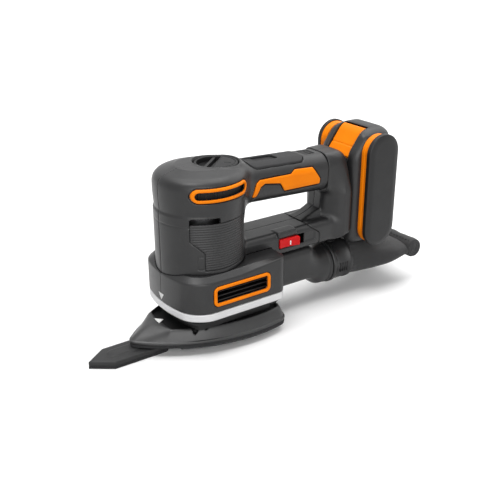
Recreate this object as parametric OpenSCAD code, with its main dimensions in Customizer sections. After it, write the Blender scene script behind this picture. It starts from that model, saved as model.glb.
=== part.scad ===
// Cordless detail sander with a clamp-on iron-shaped pad, a finger pad, a slide-on battery and a dust bag.
// Origin: the motor axis on the pad's sole. +X points to the battery, +Y to the tool's right, +Z up.

/* [Sanding pad] */
// Half of the pad's greatest width
pad_half_w = 48; // [44:0.5:54]
// Radius of the pad's curved sides
pad_side_r = 146; // [138:0.5:155]
// Distance of the widest place behind the motor axis
pad_wide_x = 29; // [24:1:34]
// Distance of the pad's rear end behind the motor axis
pad_rear = 73; // [70:0.5:78]
// Radius of the pad's rear curve
pad_rear_r = 120; // [100:1:150]
// Rounding of the pad's nose
pad_nose_r = 7; // [3:0.5:8]
// Rounding of the pad's rear corners
pad_corner_r = 12; // [8:0.5:16]
// Thickness of the hook sheet under the pad
hook_t = 1.6; // [1.2:0.1:2.5]
// Thickness of the pad's foam
foam_t = 2.6; // [2:0.1:4]
// Thickness of the rim of the pad's base
pad_rim_t = 3.2; // [2.5:0.1:5]
// Rise of the pad's base above its rim
pad_dome_t = 10; // [8:0.5:13]
// How far the top of the pad's base stands in from its rim
dome_inset = 8; // [6:0.5:9]
// Distance of the top of the pad's base ahead of the motor axis
dome_front = 47; // [42:1:54]
// Radius of the pad's dust holes
dust_hole_r = 4.5; // [3:0.5:6]

/* [Finger] */
// Distance of the finger's point ahead of the motor axis
finger_tip = 118; // [105:1:130]
// Length of the finger's pointed end
finger_point = 19.7; // [14:0.1:26]
// Width of the finger
finger_w = 28.5; // [22:0.5:32]
// Distance of the finger's heel ahead of the motor axis
finger_heel = 43; // [40:0.5:50]
// Thickness of the finger's plate
finger_plate_t = 5; // [4:0.1:7]
// Thickness of the finger's foam
finger_foam_t = 2.6; // [2:0.1:4]

/* [Platen and clamp] */
// Height of the platen's neck
neck_h = 9; // [7:0.5:12]
// How far the neck stands in from the deck's outline
neck_inset = 10; // [8:0.5:12]
// Thickness of the platen's flange
flange_t = 2; // [1.6:0.1:3]
// How far the flange stands in from the deck's outline
flange_inset = 1.5; // [1:0.1:2.5]
// Height of the clamp lever's band
lever_h = 7.1; // [6:0.1:8]
// Thickness of the clamp lever's band
lever_t = 3; // [2.4:0.1:3.6]
// Radius of the clamp lever's pivot pin
lever_pin_r = 2.5; // [2:0.1:3]

/* [Deck] */
// Half of the deck's width
deck_half_w = 47; // [46:0.5:52]
// Distance of the deck's front ahead of the motor axis
deck_front = 42.5; // [41.5:0.5:48]
// Distance of the deck's back behind the motor axis
deck_back = 62; // [58:0.5:66]
// Radius of the deck's curved front
deck_front_r = 116; // [100:1:150]
// Rounding of the deck's corners
deck_corner_r = 14; // [12:0.5:16]
// Height of the deck's wall
deck_h = 30; // [28:0.5:36]
// Rise of the deck's sloping shoulder
shoulder_h = 4.5; // [3.5:0.1:6]
// How far the shoulder slopes in
shoulder_in = 6.5; // [5:0.1:6.5]
// Wall of the moulded shells
wall = 2.6; // [2.2:0.1:3]

/* [Head] */
// Radius of the head below its cap
waist_r = 40; // [38.5:0.1:41]
// How far the cap stands out from the waist
cap_step = 1.7; // [1:0.1:2.5]
// Height of the waist
waist_h = 46; // [42:0.5:54]
// Height of the cap
cap_h = 40.5; // [39:0.5:46]
// Rounding of the cap's top edge
cap_round = 9; // [6:0.5:11]
// Width of the cap's vent ring
cap_vent_w = 56; // [48:0.5:60]
// Height of the cap's vent ring
cap_vent_h = 12; // [10:0.5:14]
// Width of a vent ring's own bar
ring_bar = 2.6; // [2:0.1:3.2]

/* [Handle, arm and tower] */
// Width of the handle
handle_w = 42; // [38:0.5:46]
// Height of the handle's section
handle_h = 37; // [33:0.5:38]
// Rounding of the handle's section
handle_round = 15; // [12:0.5:16]
// Angle at which the handle falls to the rear
handle_fall = 2.6; // [1:0.1:4]
// Length of the handle from the motor axis
handle_end = 130; // [128:0.5:132]
// Width of the lower arm
arm_w = 46; // [42:0.5:48]
// Height of the lower arm
arm_h = 23.5; // [22:0.5:26]
// Rounding of the arm's section
arm_round = 6; // [4:0.5:7]
// Width of the tower
tower_w = 60; // [56:0.5:64]
// Distance of the tower's rear face behind the handle's end
tower_depth = 26.3; // [25.5:0.1:27]
// Radius of the elbow between the handle and the tower
elbow_r = 28; // [24:0.5:28.5]

/* [Dust port] */
// Radius of the round dust port
port_r = 20.5; // [19.5:0.1:22]
// Height of the port's axis above the pad's sole
port_z = 28; // [25.5:0.1:29]
// Distance of the port's face behind the motor axis
port_end = 142; // [140:0.5:145]
// Length of the spigot inside the bag's collar
spigot_len = 16; // [12:0.5:18]

/* [Battery] */
// Width of a side panel, which is a slot shape with round ends
panel_w = 36.4; // [34:0.2:38]
// How much taller a side panel is than the opening over the cells
panel_over = 7; // [6:0.5:10]
// Thickness of a side panel
panel_t = 3.5; // [2.5:0.1:4.5]
// Half of the width of the battery's case
case_half_w = 28; // [27:0.5:30]
// Width of a battery rim
rim_t = 8; // [7:0.1:9]
// How far a rim is set ahead of its panel
rim_lead = 1; // [0.5:0.1:2]
// Radius of a cell
cell_r = 9.2; // [9:0.1:9.3]
// Length of a cell
cell_len = 65; // [63:0.5:66]
// Number of cells
cell_count = 5; // [4:1:5]

/* [Moving parts] */
// Throw of the eccentric, half of the pad's orbit
orbit = 1; // [0.6:0.1:1.2]
// Radius of the speed dial
dial_r = 20; // [17:0.5:20.5]
// Width of the switch rocker
rocker_w = 22; // [18:0.5:24]
// Height of the switch rocker
rocker_h = 9; // [7:0.5:9.5]
// Tilt of the rocker to either side
rocker_tilt = 6; // [4:0.5:8]
// Width of the battery latch
latch_w = 30.6; // [26:0.2:32]

/* [Hidden] */
$fn = 64;
arc_steps = 10;
// Clearances: between bodies, of running pins, of seated pieces and between the two halves
body_gap = 0.3;
run_gap = 0.05;
seat_gap = 0.1;
seam = 0.2;
lever_gap = 0.4;
// Longer than anything it cuts
far = 200;

// Heights, stacked upwards from the sole
foam_z = hook_t;
base_z = foam_z + foam_t;
dome_z = base_z + pad_rim_t;
pad_top = dome_z + pad_dome_t;
platen_z = pad_top + body_gap;
flange_z = platen_z + neck_h;
platen_top = flange_z + flange_t;
lever_z = platen_top + body_gap;
deck_z = lever_z + lever_h + lever_gap;
deck_top = deck_z + deck_h;
ledge_top = deck_top + shoulder_h;
cap_z = ledge_top + waist_h;
head_top = cap_z + cap_h;
cap_r = waist_r + cap_step;

// Handle axis at the motor axis, and the arm's heights
handle_drop = 22.75;
handle_z = head_top - handle_drop;
handle_slope = tan(handle_fall);
arm_top = ledge_top + 12;
arm_low = arm_top - arm_h;
bar_start = 20;
arm_end = handle_end - 12;
tower_top = handle_z - handle_slope * handle_end + handle_h / 2;
tower_back = handle_end + tower_depth;

// Drive line
shaft_r = 4;
bearing_r = 11;
bearing_h = 7;
motor_r = 25;
can_wall = 2;
armature_r = 20.3;
motor_z = ledge_top - wall - 2 * seat_gap;
motor_h = 50;
brush_h = 8;
plate_t = 4;
plate_z = motor_z - plate_t;
lower_seat_z = plate_z - 4;
fan_r = 33;
fan_z = deck_z + 11.5;
fan_h = 10;
hub_z = platen_top + 7.3;
hub_r = 10;
boss_r = 15;
boss_top = hub_z - 2;
orbit_bearing_z = boss_top - bearing_h - 1;
base_plate_z = deck_z + 1.5;
base_plate_t = 3;
base_hole_r = 27;
weight_z = base_plate_z + base_plate_t + 1;
weight_r = 24;
leg_r = 5;
leg_places = [[-24, -22], [-3, 27], [deck_back - 22, -28], [deck_back - 22, 28]];
spud_r = 12;
spud_h = 3;

// Lever pivot: the centre of the deck's front right corner
corner_y = deck_half_w - deck_corner_r;
front_centre = deck_front_r - deck_front;
corner_x = front_centre - sqrt(pow(deck_front_r - deck_corner_r, 2) - pow(corner_y, 2));
lever_boss_r = 6;

// Dial in the head's top
dial_x = 17;
dial_top = head_top - 1.5;
dial_t = 6.5;
dial_floor = dial_top - dial_t - body_gap;
stem_r = 3;
pot_r = 8;
pot_h = 10;

// Switch on the arm's left side
switch_x = 82.75;
switch_z = (arm_top + arm_low) / 2 + 0.5;
switch_y = 4.8 - arm_w / 2;
pivot_r = 1.5;
ear_h = 2;

// Battery, hung behind the tower
bat_front = tower_back + 0.7;
bat_depth = 46;
bat_back = bat_front + bat_depth;
bat_low = ledge_top - 20;
cell_room = 4.6;
cell_pitch = 2 * cell_r + 2.1;
opening_h = (cell_count - 1) * cell_pitch + 2 * cell_r + cell_room;
panel_h = opening_h + panel_over;
bat_h = panel_h + 3;
bat_top = bat_low + bat_h;
slope_run = 21;
slope_rise = slope_run * 4 / 3;
slope_z = bat_top - slope_rise;
slope_angle = atan(4 / 3);
slope_len = slope_rise * 5 / 4;
panel_x = bat_front + 26.8;
panel_z = bat_low + bat_h / 2 - 2.1;
top_in = 8;
top_drop = 6;
rim_in = 0.6;
opening_x = panel_x - rim_lead / 4;
opening_w = panel_w - 6.4;
cell_x = opening_x + opening_w / 2 - cell_r - 2.8;
frame_t = 3;
frame_y = case_half_w - 7;
rail_y = 12;
rail_w = 4;
rail_lip = 3;
lip_x = bat_front + wall + body_gap;
lip_t = 2.1;
rail_low = arm_low + 13;
rail_len = 46;
slot_gap = 0.4;
contact_half_w = 9;
contact_low = arm_low + 17;
contact_h = 22;
latch_gap = 0.4;
latch_t = 3;
hinge_u = 3.2;
hinge_w = -4.5;

// Screws along Y: x, z and the seat of the head
screws = [[58, handle_z - 2.5, 15], [handle_end - 22, handle_z - 4.5, 15],
          [arm_end - 14, arm_low + 12, 17],
          [-30, ledge_top + 20, 20], [-30, cap_z + 12, 20]];
screw_r = 1.5;
screw_head_r = 3.2;
screw_head_h = 2.4;
screw_tip = -9;
post_r = 4.2;

charcoal = "#3d3d3f";
dark = "#232325";
orange = "#ee7d12";
silver = "#cfd1d3";
steel = "#9a9da1";

// Helpers

function arc(centre, r, from, to, steps = arc_steps) =
    [for (i = [0:steps]) let (a = from + (to - from) * i / steps) centre + r * [cos(a), sin(a)]];

function rounded(w, h, r) = concat(
    arc([w / 2 - r, h / 2 - r], r, 0, 90), arc([r - w / 2, h / 2 - r], r, 90, 180),
    arc([r - w / 2, r - h / 2], r, 180, 270), arc([w / 2 - r, r - h / 2], r, 270, 360));

function slot_shape(w, h) = rounded(w, h, min(w, h) / 2 - 0.01);

function mirrored(points) = [for (i = [len(points) - 1:-1:0]) [points[i][0], -points[i][1]]];

module along_x(from, to) {
    translate([from, 0, 0]) rotate([90, 0, 90]) linear_extrude(to - from) children();
}

module along_y(from, to) {
    translate([0, to, 0]) rotate([90, 0, 0]) linear_extrude(to - from) children();
}

module along_z(from, to) {
    translate([0, 0, from]) linear_extrude(to - from) children();
}

module ring_z(outer, inner, from, to) {
    difference() {
        translate([0, 0, from]) cylinder(r = outer, h = to - from);
        translate([0, 0, from - 1]) cylinder(r = inner, h = to - from + 2);
    }
}

// side is -1 for the tool's left and 1 for its right
module on_side(side) {
    mirror([0, side > 0 ? 1 : 0, 0]) children();
}

module half(side) {
    intersection() {
        children();
        on_side(side) along_y(-far, -seam / 2) translate([0, far / 2]) square(2 * far, center = true);
    }
}

// Outlines in plan, drawn in by k

function pad_outline(k = 0) = let (
        side_centre = [pad_wide_x, pad_side_r - pad_half_w],
        rear_centre = [pad_rear - pad_rear_r, 0],
        nose_x = pad_wide_x - sqrt(pow(pad_side_r - pad_nose_r, 2) - pow(side_centre[1], 2)),
        nose_turn = atan2(side_centre[1], pad_wide_x - nose_x),
        to_side = pad_side_r - pad_corner_r,
        to_rear = pad_rear_r - pad_corner_r,
        apart = norm(side_centre - rear_centre),
        along = (to_rear * to_rear - to_side * to_side + apart * apart) / (2 * apart),
        across = sqrt(to_rear * to_rear - along * along),
        unit = (side_centre - rear_centre) / apart,
        corner = rear_centre + along * unit + across * [unit[1], -unit[0]],
        side_end = atan2(corner[1] - side_centre[1], corner[0] - side_centre[0]),
        rear_start = atan2(corner[1] - rear_centre[1], corner[0] - rear_centre[0]),
        lower = concat(
            arc([nose_x, 0], pad_nose_r - k, 180, 180 + 90 - nose_turn, 4),
            arc(side_centre, pad_side_r - k, 180 + 90 - nose_turn + 1, 360 + side_end - 1, 16),
            arc(corner, pad_corner_r - k, side_end, rear_start, 6),
            arc(rear_centre, pad_rear_r - k, rear_start + 3, 0, 4)))
    concat(lower, mirrored([for (i = [1:len(lower) - 2]) lower[i]]));

function deck_outline(k = 0) = let (
        turn = asin(corner_y / (deck_front_r - deck_corner_r)),
        lower = concat(
            arc([front_centre, 0], deck_front_r - k, 180, 180 + turn - 1, 5),
            arc([corner_x, -corner_y], deck_corner_r - k, 180 + turn, 270, 8),
            arc([deck_back - deck_corner_r, -corner_y], deck_corner_r - k, 270, 360, 8)))
    concat(lower, mirrored([for (i = [1:len(lower) - 1]) lower[i]]));

// Outer forms of the shells, drawn in by k

module head_form(k) {
    round_r = cap_round - k;
    rotate_extrude() polygon(concat(
        [[0, ledge_top], [waist_r - k, ledge_top], [waist_r - k, cap_z], [cap_r - k, cap_z + cap_step]],
        arc([cap_r - cap_round, head_top - cap_round], round_r, 0, 90),
        [[0, head_top - k]]));
}

module handle_form(k, from = bar_start, to = handle_end) {
    translate([0, 0, handle_z]) rotate([0, handle_fall, 0])
        along_x(from, to) polygon(rounded(handle_w - 2 * k, handle_h - 2 * k, handle_round - k));
}

module arm_form(k, from, to) {
    translate([0, 0, arm_low + arm_h / 2])
        along_x(from, to) polygon(rounded(arm_w - 2 * k, arm_h - 2 * k, arm_round - k));
}

// The arm is cut off above the deck's back
module arm_on_deck(k) {
    difference() {
        arm_form(k, bar_start, deck_back + 1);
        along_z(0, ledge_top + k) square(4 * deck_back, center = true);
    }
}

module body_form(k) {
    head_form(k);
    handle_form(k);
    arm_on_deck(k);
    arm_form(k, deck_back + seat_gap + k, arm_end);
}

module screw_posts() {
    intersection() {
        for (s = screws) translate([s[0], 0, s[1]]) rotate([90, 0, 0])
            cylinder(r = post_r, h = far, center = true);
        body_form(wall / 2);
    }
}

module screw_holes() {
    for (s = screws) translate([s[0], 0, s[1]]) rotate([-90, 0, 0]) {
        translate([0, 0, screw_tip - 1]) cylinder(r = screw_r + seat_gap, h = far);
        translate([0, 0, s[2]]) cylinder(r = screw_head_r + seat_gap, h = far);
    }
}

// Vent rings and inlays, as seen from the side
vent_z = cap_z + 24.2;
deck_vent_x = 13.3;
deck_vent_z = deck_z + 14.8;
deck_vent_w = 60;
deck_vent_h = 18.8;
deck_vent_bar = 3;
panel_depth = 1;
inlay_depth = 1.2;
inlay_proud = 0.5;
pad_depth = 1.4;
pad_proud = 0.6;
grip_x = 75;
grip_len = 62;
grip_w = 26;

// Inlay: a foot, a strip along the handle and a swell at the rear
inlay_top = handle_z + 4.75;
inlay_foot_x = 47.5;
inlay_foot_w = 3;
inlay_foot_h = 15.5;
inlay_strip = 4;
swell_start = handle_end - 52;
swell_end = handle_end - 11;
swell_low = inlay_top - 17.5;

function inlay_outline() = [[inlay_foot_x + 1.5, inlay_top], [swell_start + 4, inlay_top - 1],
    [swell_start + 11, inlay_top + 2], [swell_end - 8, inlay_top + 1], [swell_end, swell_low + 4],
    [swell_end - 2.5, swell_low], [swell_start, swell_low + 2],
    [swell_start - 6, inlay_top - inlay_strip - 2],
    [inlay_foot_x + inlay_foot_w + 2, inlay_top - inlay_strip],
    [inlay_foot_x + inlay_foot_w, inlay_top - inlay_foot_h], [inlay_foot_x, inlay_top - inlay_foot_h]];

// Ribbed panel on the waist's side, cut off at its front low corner
panel_front = 29;
panel_rear = 26;
panel_cut = 10.5;
panel_edge = 2;
panel_knee = cap_z - 17;

function panel_outline() = [[-panel_front, cap_z - 1], [-panel_front, panel_knee],
    [panel_cut - panel_front, panel_knee - panel_cut], [panel_cut - panel_front, ledge_top + panel_edge],
    [panel_rear, ledge_top + panel_edge], [panel_rear, cap_z - 1]];

module cap_vent_hole(grow) {
    translate([0, vent_z]) polygon(slot_shape(cap_vent_w + 2 * grow, cap_vent_h + 2 * grow));
}

module deck_vent_hole(grow) {
    translate([deck_vent_x, deck_vent_z])
        polygon(rounded(deck_vent_w + 2 * grow, deck_vent_h + 2 * grow, 5 + grow));
}

module cap_vent_pocket() {
    difference() {
        along_y(-far, -15) cap_vent_hole(seat_gap);
        translate([0, 0, cap_z]) cylinder(r = cap_r - pad_depth, h = cap_h);
    }
    along_y(-far, -15) cap_vent_hole(-ring_bar);
}

module side_pocket() {
    difference() {
        along_y(-far, -15) polygon(panel_outline());
        translate([0, 0, ledge_top - 1]) cylinder(r = waist_r - panel_depth, h = waist_h + 2);
    }
}

module inlay_pocket() {
    difference() {
        along_y(-far, -5) polygon(inlay_outline());
        handle_form(inlay_depth, 0, far);
    }
}

module grip_prism() {
    along_z(handle_z, handle_z + far) translate([grip_x, 0]) polygon(rounded(grip_len, grip_w, 8));
}

module dial_pocket() {
    translate([dial_x, 0, dial_floor]) cylinder(r = dial_r + body_gap, h = 50);
    translate([dial_x, 0, dial_floor - 20]) cylinder(r = stem_r + run_gap, h = 50);
}

// The rocker's hole, with room for its ends to swing
module rocker_hole() {
    translate([switch_x, 0, switch_z])
        along_y(-far, -arm_w / 2 + 2 * wall) square([rocker_w + 1.4, rocker_h + 0.8], center = true);
}

module motor_ribs() {
    for (z = [motor_z + 0.25 * motor_h, motor_z + 0.8 * motor_h])
        ring_z(waist_r - wall / 2, motor_r + seat_gap, z, z + 3);
}

module body_shell() {
    difference() {
        union() {
            difference() {
                body_form(0);
                body_form(wall);
                translate([0, 0, ledge_top - 1]) cylinder(r = waist_r - wall, h = 10);
                handle_form(wall, handle_end - 5, handle_end + 5);
                arm_form(wall, arm_end - 5, arm_end + 5);
            }
            motor_ribs();
            screw_posts();
            intersection() {
                translate([dial_x, 0, dial_floor - wall]) cylinder(r = dial_r + body_gap + 2, h = 30);
                head_form(wall / 2);
            }
        }
        screw_holes();
        dial_pocket();
        for (side = [-1, 1]) on_side(side) {
            cap_vent_pocket();
            side_pocket();
            inlay_pocket();
        }
        difference() {
            grip_prism();
            handle_form(pad_depth, 0, far);
        }
        rocker_hole();
    }
}

module body_left() { color(charcoal) half(-1) body_shell(); }

module body_right() { color(charcoal) half(1) body_shell(); }

// Deck: wall, sloping shoulder and an opening for the head

shoulder_drop = 1;
cavity_in = shoulder_in - 0.1;
spigot_w = 30;
spigot_low = base_plate_z + base_plate_t + 1;
spigot_h = 15;

module deck_form() {
    along_z(deck_z, deck_top) polygon(deck_outline());
    hull() {
        along_z(deck_top, deck_top + 0.01) polygon(deck_outline());
        along_z(ledge_top - 0.01, ledge_top) polygon(deck_outline(shoulder_in));
    }
}

module deck_shell() {
    difference() {
        deck_form();
        along_z(deck_z - 1, deck_top - shoulder_drop) polygon(deck_outline(wall));
        along_z(deck_z, ledge_top - wall) polygon(deck_outline(cavity_in));
        translate([0, 0, deck_z]) cylinder(r = waist_r - wall, h = deck_h + 20);
        for (side = [-1, 1]) on_side(side) {
            along_y(-far, -deck_half_w + pad_depth) deck_vent_hole(seat_gap);
            along_y(-far, -deck_half_w + 2 * wall) deck_vent_hole(-deck_vent_bar);
        }
        along_x(deck_back - 2 * wall, deck_back + 5) translate([0, spigot_low + spigot_h / 2])
            square([spigot_w + 2 * seat_gap, spigot_h + 2 * seat_gap], center = true);
    }
}

module deck_left() { color(charcoal) half(-1) deck_shell(); }

module deck_right() { color(charcoal) half(1) deck_shell(); }

// Tower: a post that flares to the battery dock, the elbow of the handle and the end of the arm

post_x = handle_end - 20;
post_half = 9;
sill_half = 11;
sill_x = handle_end + 0.4;
sill_z = arm_top + 9.5;
jamb_x = handle_end + 1.2;
jamb_z = arm_top + 24;
flare_x = handle_end + 16;
skirt_x = handle_end + 13;
skirt_z = arm_low + 2.5;
heel_z = arm_low + 6.5;
crease_z = arm_top + 26;
neck_z = tower_top - 17;
tower_gap = 0.2;

elbow_x = tower_back - elbow_r;

function elbow_arc(k, start = 90) = arc([elbow_x, tower_top - elbow_r], elbow_r - k, start, 0);

// Where the bend starts above the post's front, and the corner ahead of it on a longer tower
function elbow_start(k) = acos(max(0, jamb_x + k - elbow_x) / (elbow_r - k));
function elbow_lead(k) = jamb_x + k < elbow_x ? [[jamb_x + k, tower_top - k]] : [];

module tower_side(k) {
    polygon(concat(
        [[post_x + 1.5 * k, arm_top], [sill_x + k, sill_z], [jamb_x + k, jamb_z]],
        elbow_lead(k),
        elbow_arc(k, elbow_start(k)),
        [[tower_back - k, heel_z + k], [skirt_x, skirt_z + k], [arm_end + tower_gap + k, arm_low + k],
         [arm_end + tower_gap + k, arm_top]]));
}

module tower_plan(k) {
    far_side = [[post_x - 2, post_half - k], [sill_x, sill_half - k], [flare_x, tower_w / 2 - k],
                [tower_back, tower_w / 2 - k]];
    polygon(concat(far_side, mirrored(far_side)));
}

// Seen from behind, the tower narrows to the handle's width at its top
module tower_rear(k) {
    far_side = [[tower_w / 2 - k, 0], [tower_w / 2 - k, crease_z - k / 2],
                [handle_w / 2 + 2 - k, neck_z - k / 2], [handle_round - k, tower_top - k]];
    polygon(concat(far_side, [for (i = [len(far_side) - 1:-1:0]) [-far_side[i][0], far_side[i][1]]]));
}

module tower_block(k) {
    intersection() {
        along_y(-far, far) tower_side(k);
        along_z(0, far) tower_plan(k);
        along_x(0, far) tower_rear(k);
    }
}

module tower_elbow(k) {
    intersection() {
        handle_form(k, handle_end + tower_gap + k, tower_back - 4);
        along_y(-far, far) polygon(concat(
            [[post_x, arm_top], [post_x, tower_top + 5], [elbow_x, tower_top + 5]],
            elbow_arc(k), [[tower_back - k, arm_top]]));
    }
}

module tower_foot(k) {
    intersection() {
        arm_form(k, arm_end + tower_gap + k, tower_back - 4);
        along_y(-far, far) polygon([[post_x, arm_low - 5], [post_x, arm_top + 5],
            [tower_back - k, arm_top + 5], [tower_back - k, heel_z + k], [skirt_x, skirt_z + k],
            [arm_end + tower_gap + k, arm_low + k]]);
    }
}

// A rail with an outward lip, which the battery hangs on
module rail() {
    along_z(rail_low, rail_low + rail_len) polygon([[tower_back - 1, rail_y], [lip_x + lip_t, rail_y],
        [lip_x + lip_t, rail_y + rail_w + rail_lip], [lip_x, rail_y + rail_w + rail_lip],
        [lip_x, rail_y + rail_w], [tower_back - 1, rail_y + rail_w]]);
}

module tower_shell() {
    difference() {
        union() {
            tower_block(0);
            tower_elbow(0.05);
            tower_foot(0.05);
        }
        tower_block(wall);
        tower_elbow(wall + 0.1);
        tower_foot(wall + 0.1);
        translate([tower_back - 20, -contact_half_w - seat_gap, contact_low - seat_gap])
            cube([40, 2 * (contact_half_w + seat_gap), contact_h + 2 * seat_gap]);
    }
}

module tower_left() {
    color(charcoal) {
        half(-1) tower_shell();
        on_side(1) rail();
    }
}

module tower_right() {
    color(charcoal) {
        half(1) tower_shell();
        rail();
    }
}

// Dust duct: from the deck's back, under the arm, to the round port

duct_start = deck_back + orbit + 0.6;
duct_w = 40;
duct_low = port_z - 6.5;
duct_h = arm_low - tower_gap - duct_low;
duct_round = 9;
flare_start = port_end - 30;
flare_end = port_end - 10;
spigot_r = port_r - 3.5;

module duct_section(k) {
    translate([0, duct_low + duct_h / 2]) polygon(rounded(duct_w - 2 * k, duct_h - 2 * k, duct_round - k));
}

module port_rod(r, from, to) {
    translate([from, 0, port_z]) rotate([0, 90, 0]) cylinder(r = r, h = to - from);
}

module duct_flare(k) {
    hull() {
        along_x(flare_start - 0.5, flare_start) duct_section(k);
        port_rod(port_r - k, flare_end, flare_end + 0.5);
    }
}

module dust_duct() {
    color(charcoal) difference() {
        union() {
            along_x(duct_start, flare_start) duct_section(0);
            duct_flare(0);
            port_rod(port_r, flare_end, port_end);
            port_rod(spigot_r, flare_end, port_end + spigot_len);
            along_x(deck_back - wall, duct_start + 1) translate([0, spigot_low + spigot_h / 2])
                square([spigot_w, spigot_h], center = true);
        }
        along_x(duct_start + wall, flare_start + 0.1) duct_section(wall);
        duct_flare(wall);
        port_rod(spigot_r - wall, flare_end - 1, port_end + spigot_len + 1);
        along_x(deck_back - 10, duct_start + 2 * wall) translate([0, spigot_low + spigot_h / 2])
            square([spigot_w - 4, spigot_h - 4], center = true);
    }
}

// Soft grip, inlays, vent rings and side panels

module grip_pad() {
    color(dark) intersection() {
        difference() {
            handle_form(-pad_proud, 0, far);
            handle_form(pad_depth - run_gap, -1, far + 1);
        }
        along_z(handle_z, handle_z + far) translate([grip_x, 0])
            polygon(rounded(grip_len - 2 * seat_gap, grip_w - 2 * seat_gap, 8));
    }
}

module grip_inlay(side) {
    color(orange) on_side(side) intersection() {
        difference() {
            handle_form(-inlay_proud, 0, far);
            handle_form(inlay_depth - run_gap, -1, far + 1);
        }
        along_y(-far, -5) polygon(inlay_outline());
    }
}

module grip_inlay_left() { grip_inlay(-1); }

module grip_inlay_right() { grip_inlay(1); }

module cap_vent(side) {
    color(orange) on_side(side) intersection() {
        along_y(-far, -15) difference() {
            cap_vent_hole(0);
            cap_vent_hole(-ring_bar);
        }
        ring_z(cap_r + inlay_proud, cap_r - pad_depth + run_gap, cap_z, cap_z + cap_h);
    }
}

module cap_vent_left() { cap_vent(-1); }

module cap_vent_right() { cap_vent(1); }

module deck_vent(side) {
    color(orange) on_side(side) along_y(-deck_half_w - 0.8, -deck_half_w + pad_depth) difference() {
        deck_vent_hole(0);
        deck_vent_hole(-deck_vent_bar);
    }
}

module deck_vent_left() { deck_vent(-1); }

module deck_vent_right() { deck_vent(1); }

module side_panel(side) {
    rib_pitch = 2;
    color(dark) on_side(side) intersection() {
        along_y(-far, -15) polygon(panel_outline());
        difference() {
            ring_z(waist_r - 0.2, waist_r - panel_depth, ledge_top, cap_z);
            for (z = [ledge_top + 4:rib_pitch:cap_z - 3]) ring_z(waist_r + 5, waist_r - 0.5, z, z + 0.7);
        }
    }
}

module side_panel_left() { side_panel(-1); }

module side_panel_right() { side_panel(1); }

// Motor and its seats

module motor_can() { color(steel) ring_z(motor_r, motor_r - can_wall, motor_z, motor_z + motor_h); }

module motor_magnets() {
    magnet_gap = 8;
    color(dark) difference() {
        ring_z(motor_r - can_wall - seat_gap, armature_r + 0.6, motor_z + 4, motor_z + motor_h - 8);
        translate([-50, -magnet_gap / 2, motor_z]) cube([100, magnet_gap, motor_h]);
    }
}

upper_seat_z = motor_z + motor_h + brush_h - 5;
upper_bearing_r = 9;

module brush_plate() {
    color(dark) difference() {
        translate([0, 0, motor_z + motor_h]) cylinder(r = motor_r, h = brush_h);
        translate([0, 0, motor_z + motor_h - 1]) cylinder(r = shaft_r + 1, h = brush_h + 2);
        translate([0, 0, upper_seat_z]) cylinder(r = upper_bearing_r, h = 10);
    }
}

module upper_bearing() {
    color(steel) ring_z(upper_bearing_r, shaft_r + run_gap, upper_seat_z, upper_seat_z + 5);
}

module bearing_plate() {
    color(steel) difference() {
        union() {
            along_z(plate_z, plate_z + plate_t) intersection() {
                circle(r = waist_r);
                polygon(deck_outline(cavity_in + seat_gap));
            }
            translate([0, 0, lower_seat_z]) cylinder(r = bearing_r + 3, h = plate_t);
        }
        translate([0, 0, lower_seat_z - 1]) cylinder(r = shaft_r + 1, h = 20);
        translate([0, 0, lower_seat_z + 1]) cylinder(r = bearing_r, h = 20);
    }
}

module lower_bearing() {
    color(steel) ring_z(bearing_r, shaft_r + run_gap, lower_seat_z + 1, lower_seat_z + 1 + bearing_h - 0.2);
}

module base_plate() {
    color(dark) along_z(base_plate_z, base_plate_z + base_plate_t) difference() {
        polygon(deck_outline(wall + body_gap));
        circle(r = base_hole_r);
    }
}

module rubber_legs() {
    color(dark) for (place = leg_places)
        translate([place[0], place[1], platen_top + body_gap])
            cylinder(r = leg_r, h = base_plate_z - platen_top - body_gap);
}

// Electrics

module switch_module() {
    box_y = 3.5 + switch_y;
    ear_z = rocker_h / 2 + 0.4;
    color(dark) translate([switch_x, 0, switch_z]) difference() {
        union() {
            translate([-14, box_y, -8]) cube([28, 12.5, 16]);
            for (z = [-ear_z - ear_h, ear_z])
                translate([-4, switch_y - 1.2, z]) cube([8, 5, ear_h]);
        }
        translate([0, switch_y, -50]) cylinder(r = pivot_r + run_gap, h = 100);
    }
}

module control_board() {
    color("darkgreen") translate([0, 0, handle_z]) rotate([0, handle_fall, 0])
        translate([64, -10, wall + 1 - handle_h / 2]) cube([40, 20, 1.6]);
}

module speed_potentiometer() {
    top = dial_floor - wall - seat_gap;
    color(dark) difference() {
        translate([dial_x, 0, top - pot_h]) cylinder(r = pot_r, h = pot_h);
        translate([dial_x, 0, top - pot_h + 1]) cylinder(r = stem_r + run_gap, h = pot_h);
    }
}

module terminal_block() {
    color(dark) translate([tower_back - 8, -contact_half_w, contact_low])
        cube([10.5, 2 * contact_half_w, contact_h]);
}

module terminal_blades() {
    blade_t = 1;
    color("goldenrod") for (y = [-6, -2, 2, 6])
        translate([tower_back + 2.5, y - blade_t / 2, contact_low + 4]) cube([5.7, blade_t, contact_h - 8]);
}

module body_screws() {
    color(steel) for (s = screws) translate([s[0], 0, s[1]]) rotate([-90, 0, 0]) {
        translate([0, 0, screw_tip]) cylinder(r = screw_r, h = s[2] - screw_tip);
        translate([0, 0, s[2]]) difference() {
            cylinder(r = screw_head_r, h = screw_head_h);
            translate([0, 0, 1]) cylinder(r = 1.4, h = 5, $fn = 6);
        }
    }
}

// Rotor

module motor_shaft() {
    color(steel) translate([0, 0, hub_z + 2]) cylinder(r = shaft_r, h = upper_seat_z + 6 - hub_z - 2);
}

module armature() {
    slots = 10;
    color("sienna") difference() {
        ring_z(armature_r, shaft_r, motor_z + 6, motor_z + motor_h - 10);
        for (i = [0:slots - 1]) rotate(i * 360 / slots)
            translate([armature_r - 4, -1, motor_z]) cube([10, 2, motor_h]);
    }
}

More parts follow.
